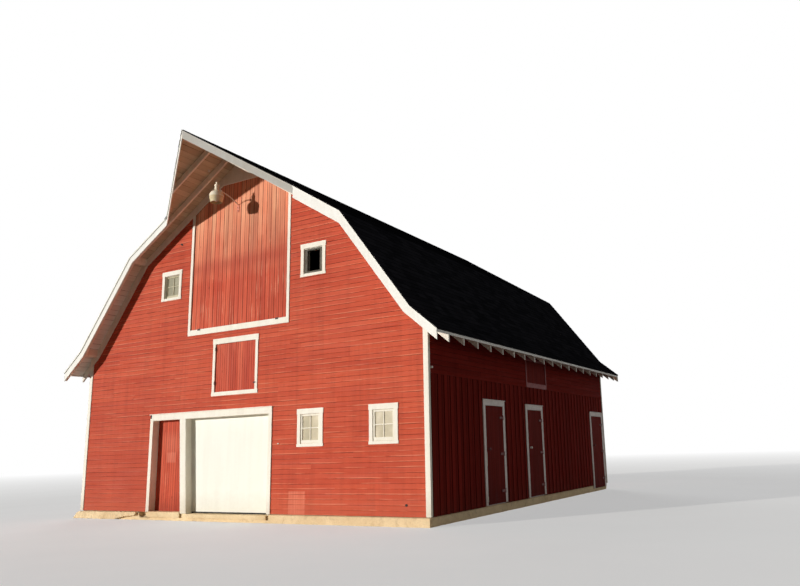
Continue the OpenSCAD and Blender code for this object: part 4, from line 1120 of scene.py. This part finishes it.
sashParts = [nodeCopy("window_sashes", "sashFrames", sash["edge"])]
for row, fronts in (("lower", windows["lowerX"]), ("upper", windows["upperX"][:1])):
    foot, top = windows[row]
    bars = crossBars(sash[row + "Front"], top - sash["above"])
    sashParts += [copyAt(bars, (x, frontY, foot)) for x in fronts]
    sashParts += [copyAt(bars, (-x, backY, foot), True) for x in backX[row]]
    bpy.data.objects.remove(bars)
sashes = paint(joinAll(sashParts, "sashBars"), sashPaint, shadedSash)
for obj in (sashes, nodes["window_glass"]):
    # the small window high in the front wall gets the darker copies: painted shade
    mark(obj, 1, lambda c: c.z > 5.0 and c.y < 0)
settle(sashes, "white_trim", "window_sashes")
print("windows made")


# turned pieces: lamp, insulators
def turned(place, profile, around=24, axis="-Y"):
    # a ring is drawn out from point to point of the profile (radius, height); a zero radius closes it
    least = 0.0005
    (radius, height), rest = profile[0], profile[1:]
    radius = max(radius, least)
    bpy.ops.mesh.primitive_circle_add(vertices=around, radius=radius, location=(0, 0, height),
                                      fill_type="NOTHING")
    obj = bpy.context.object
    pick(obj)
    bpy.ops.object.transform_apply(location=True)
    startEdit(obj, "EDGE", "SELECT")
    for r, h in rest:
        r = max(r, least)
        bpy.ops.mesh.extrude_region_move(TRANSFORM_OT_translate={"value": (0, 0, h - height)})
        bpy.ops.transform.resize(value=(r / radius, r / radius, 1), center_override=(0, 0, h))
        radius, height = r, h
    bpy.ops.mesh.select_all(action="SELECT")
    bpy.ops.mesh.remove_doubles(threshold=0.0011)
    bpy.ops.mesh.normals_make_consistent(inside=False)
    stopEdit()
    angle, about = {"Z": (0.0, "X"), "X": (math.pi / 2, "Y"), "-Y": (math.pi / 2, "X"),
                    "-Z": (math.pi, "X")}[axis]
    obj.data.transform(Matrix.Translation(place) @ Matrix.Rotation(angle, 4, about))
    smooth(obj)
    return obj


lamp = {"x": -0.062, "y": frontY - 0.670, "rim": 7.095, "bowl": 0.150, "shoulder": 0.280, "ribs": 36,
        "ribDeep": 0.028}
place = (lamp["x"], lamp["y"], lamp["rim"])
# radius and height of the rings of the bowl, and of the neck and cap above its shoulder
bowlRings = [(0.0, 0.008), (0.148, 0.008), (0.1595, -0.010), (0.160, 0.002), (0.157, 0.016), (0.153, 0.042),
             (0.140, 0.074), (0.118, 0.100), (0.086, 0.122)]
neckRings = [(0.062, 0.006), (0.051, 0.018), (0.046, 0.034), (0.045, 0.104), (0.050, 0.112), (0.055, 0.120),
             (0.055, 0.142), (0.049, 0.150), (0.034, 0.156), (0.022, 0.163), (0.0235, 0.174), (0.028, 0.186),
             (0.028, 0.200), (0.023, 0.212), (0.012, 0.220), (0.0, 0.2235)]
housing = turned(place, [(r, lamp[part] + h) for part, rings in (("bowl", bowlRings), ("shoulder", neckRings))
                         for r, h in rings], 48, "Z")
refractor = turned(place, [
    (0.120, 0.004), (0.124, 0.0), (0.128, 0.004), (0.130, 0.012), (0.140, 0.050), (0.150, 0.090),
    (0.158, 0.128), (0.158, 0.138), (0.150, 0.138), (0.142, 0.090), (0.132, 0.050),
    (0.122, 0.014), (0.120, 0.004)],
    2 * lamp["ribs"], "Z")
for v in refractor.data.vertices:
    # upright ribs round the bowl
    dx, dy = v.co.x - lamp["x"], v.co.y - lamp["y"]
    if round(math.atan2(dy, dx) * lamp["ribs"] / math.pi) % 2 and 0.01 < v.co.z - lamp["rim"] < 0.13:
        v.co.xy = lamp["x"] + dx * (1 - lamp["ribDeep"]), lamp["y"] + dy * (1 - lamp["ribDeep"])
bulb = turned(place, [
    (0.0, 0.020), (0.018, 0.023), (0.036, 0.042), (0.041, 0.064), (0.036, 0.088), (0.024, 0.112),
    (0.020, 0.157), (0.0, 0.1575)], 20, "Z")
parts = [paint(housing, creamEnamel), paint(refractor, ribbedGlass), paint(bulb, porcelain)]
settle(joinAll(parts, "yardLamp"), "cream_metal", "lamp_head")

arm = nodeCopy("lamp_arm", "lampArm")
smooth(arm, 40)
paint(arm, armPaint, platePaint)
mark(arm, 1, lambda c: c.y > frontY - 0.0085)
armZ = roofLine[0][1] - 1.180
boltProfile = [(0.0, 0.0), (0.009, 0.0), (0.010, 0.002), (0.010, 0.006), (0.006, 0.009), (0.0, 0.010)]
bolts = [paint(turned((lamp["x"], frontY - 0.008, armZ + dz), boltProfile, 10), darkIron)
         for dz in (-0.140, -0.062, 0.006)]
collar = turned((lamp["x"], lamp["y"] + 0.124, armZ + 0.181), [
    (0.0, -0.020), (0.020, -0.020), (0.027, -0.012), (0.027, 0.010), (0.020, 0.018), (0.0, 0.018)], 18)
settle(joinAll([arm, *bolts, paint(collar, porcelain)], "lampArm"), "cream_metal", "lamp_arm")
print("lamp made")


# small fittings
def fitting(centre, size, out, material, screws=2, turn=0.0):
    # a plate with a stepped face and round screw heads; size is (wide, high)
    wide, tall = size
    plate = bar((-wide / 2, -out, -tall / 2), (wide / 2, 0.0, tall / 2), min(out, wide, tall) * 0.25)
    startEdit(plate, "FACE")
    choose(plate, "faces", lambda f: f.normal.y < -0.9 and f.calc_area() > wide * tall * 0.3)
    bpy.ops.mesh.inset(thickness=min(wide, tall) * 0.16, depth=out * 0.3)
    stopEdit()
    parts = [plate]
    for k in range(screws):
        share = ((k + 0.5) / screws - 0.5) * 1.25
        spot = (share * wide, -out * 1.3, 0) if wide > tall else (0, -out * 1.3, share * tall)
        parts.append(turned(spot, [(0.0, -0.001), (0.005, -0.001), (0.005, 0.001), (0.0, 0.003)], 8))
    piece = joinAll(parts, "fitting")
    piece.data.transform(Matrix.Translation(centre) @ Matrix.Rotation(turn, 4, "Z"))
    return paint(piece, material)


# latches of the hay door, hinges and catch of the loft door
ironsAndPaintedShade = [fitting((x, frontY - 0.025, z), size, out, darkIron, screws) for x, z, size, out, screws in (
    (-1.177, 4.352, (0.085, 0.040), 0.010, 2), (1.242, 4.352, (0.085, 0.040), 0.010, 2),
    (-0.600, 3.830, (0.022, 0.075), 0.008, 3), (-0.600, 3.050, (0.022, 0.075), 0.008, 3),
    (0.628, 2.990, (0.070, 0.030), 0.010, 2))]
# black discs stand for the pipe hole and the knot hole: painted shade in the holes
pipeHole = turned((4.555, frontY - 0.0155, 0.401), [
    (0.0, 0.001), (0.020, 0.001), (0.021, 0.003), (0.025, 0.003), (0.026, 0.0), (0.026, -0.012)], 18)
knotX = -1.919
knotHole = turned((knotX, frontY - 0.0135, 6.563), [
    (0.0, 0.002), (0.022, 0.002), (0.026, 0.001), (0.027, -0.008)], 16)
for v in knotHole.data.vertices:
    v.co.x = knotX + (v.co.x - knotX) * 1.7
    v.co.z -= (v.co.x - knotX) * 0.45
# a black bar stands for the gap where the header's end is gone, under the cap of the doorway: painted shade
# in the gap
gap = bar((-2.6835, frontY - 0.0312, 2.337), (-2.636, frontY - 0.012, 2.4215), 0.001)
ironsAndPaintedShade += [paint(obj, rubberAndPaintedShade) for obj in (pipeHole, knotHole, gap)]
settle(joinAll(ironsAndPaintedShade, "ironFittingsAndPaintedShade"), "red_siding")

spool = [(0.0, 0.0), (0.022, 0.0), (0.024, 0.004), (0.024, 0.012), (0.014, 0.016), (0.014, 0.026),
         (0.024, 0.030), (0.024, 0.040), (0.018, 0.046), (0.0, 0.047)]
smallSpool = [(r * 0.6, h * 0.5) for r, h in spool]
whites = [paint(turned(place, profile, 16, axis), porcelain) for place, profile, axis in (
    ((sideX + 0.020, frontY + 0.068, 2.974), spool, "X"), ((1.360, frontY - 0.012, 1.637), smallSpool, "-Y"),
    ((-0.530, frontY - 0.507, 8.048), spool, "-Z"))]
# stops beside the front side door and the strip over the loft door
whites += [fitting((sideX + 0.025, frontY + 2.352, z), (0.034, tall), 0.008, whitePaint, screws, math.pi / 2)
           for z, tall, screws in ((1.175, 0.300, 3), (0.330, 0.120, 2))]
overDoor = bar((-0.693, frontY - 0.0255, 4.0335), (0.723, frontY - 0.002, 4.0720), 0.003)
whites.append(paint(overDoor, whitePaint))
settle(joinAll(whites, "whiteFittings"), "white_trim")
print("fittings made")

# floor: pale to the eye, but near the barn it reflects more light than far away
bpy.ops.mesh.primitive_plane_add(size=260, location=(0, 0, 0))
floor = bpy.context.object
floor.name = "floor"
p = Paint("paleFloor", 0.9, 0.1)
seen = p.seen()
away = p.math("MAXIMUM", *(p.math("SUBTRACT", p.math("ABSOLUTE", p.axis(p.spot, k)), edge)
                           for k, edge in ((0, sideX), (1, backY))))
bounce = p.blend(p.ramp(away, 2.5, 7.0), (216, 208, 196), (112, 107, 100))
pale = p.blend(p.ramp(p.noise(p.spot, 0.4, 3.0, 0.5), 0.3, 0.7), (236, 234, 230), (230, 228, 224))
p.feed(p.shader["Base Color"], p.blend(seen, bounce, pale))
reach = p.add("VectorMath", (p.spot,), operation="LENGTH").outputs["Value"]
glow = p.times(seen, p.ramp(reach, 14.0, 70.0, 0.45, 1.0))
mix = p.add("MixShader", (glow, p.tree.nodes["Principled BSDF"].outputs[0],
                          p.add("Emission", {"Strength": 1.0}).outputs[0]))
p.feed(p.tree.nodes["Material Output"].inputs[0], mix.outputs[0])
paint(floor, p.material)

world = bpy.data.worlds.new("studio")
bpy.context.scene.world = world
world.use_nodes = True
world.node_tree.nodes.clear()
n = Nodes(world.node_tree)
fill, white = (n.add("Background", {"Color": colour, "Strength": strength}).outputs[0]
               for colour, strength in (((0.93, 0.96, 1.0, 1.0), 0.05), ((1, 1, 1, 1), 1.0)))
n.add("OutputWorld", (n.add("MixShader", (n.seen(), fill, white)).outputs[0],))

for name, strength, disc, direction, colour in (
        # name, strength, angle of the disc in degrees, direction in which it shines, colour
        ("keyLight", 3.35, 2.0, (0.54, 0.78, -0.17), (1.0, 0.98, 0.945)),
        ("backLight", 0.8, 25.0, (0.62, -0.70, -0.45), (0.95, 0.97, 1.0)),
        ("sideLight", 0.32, 30.0, (-0.92, -0.30, -0.25), (0.95, 0.97, 1.0))):
    data = bpy.data.lights.new(name, "SUN")
    data.energy = strength
    data.angle = math.radians(disc)
    data.color = colour
    linked(name, data).rotation_euler = Vector(direction).to_track_quat("-Z", "Y").to_euler()

view = {"place": (12.018, -17.0515, 1.437), "yaw": 27.7182, "pitch": 11.374, "roll": -1.7822, "lens": 31.67,
        "shiftX": -0.0817, "shiftY": 0.0159}
yaw, pitch, roll = (math.radians(view[k]) for k in ("yaw", "pitch", "roll"))
ahead = Vector((-math.sin(yaw) * math.cos(pitch), math.cos(yaw) * math.cos(pitch), math.sin(pitch)))
right = Vector((math.cos(yaw), math.sin(yaw), 0))
above = right.cross(ahead)
turn = Matrix((right * math.cos(roll) + above * math.sin(roll),
               above * math.cos(roll) - right * math.sin(roll), -ahead)).transposed()
lens = bpy.data.cameras.new("camera")
lens.sensor_width = 36.0
lens.lens = view["lens"]
lens.shift_x = view["shiftX"]
lens.shift_y = view["shiftY"]
lens.clip_end = 500.0
camera = linked("camera", lens)
camera.matrix_world = Matrix.Translation(view["place"]) @ turn.to_4x4()
bpy.context.scene.camera = camera
bpy.context.scene.view_settings.view_transform = "Standard"

print("scene ready")
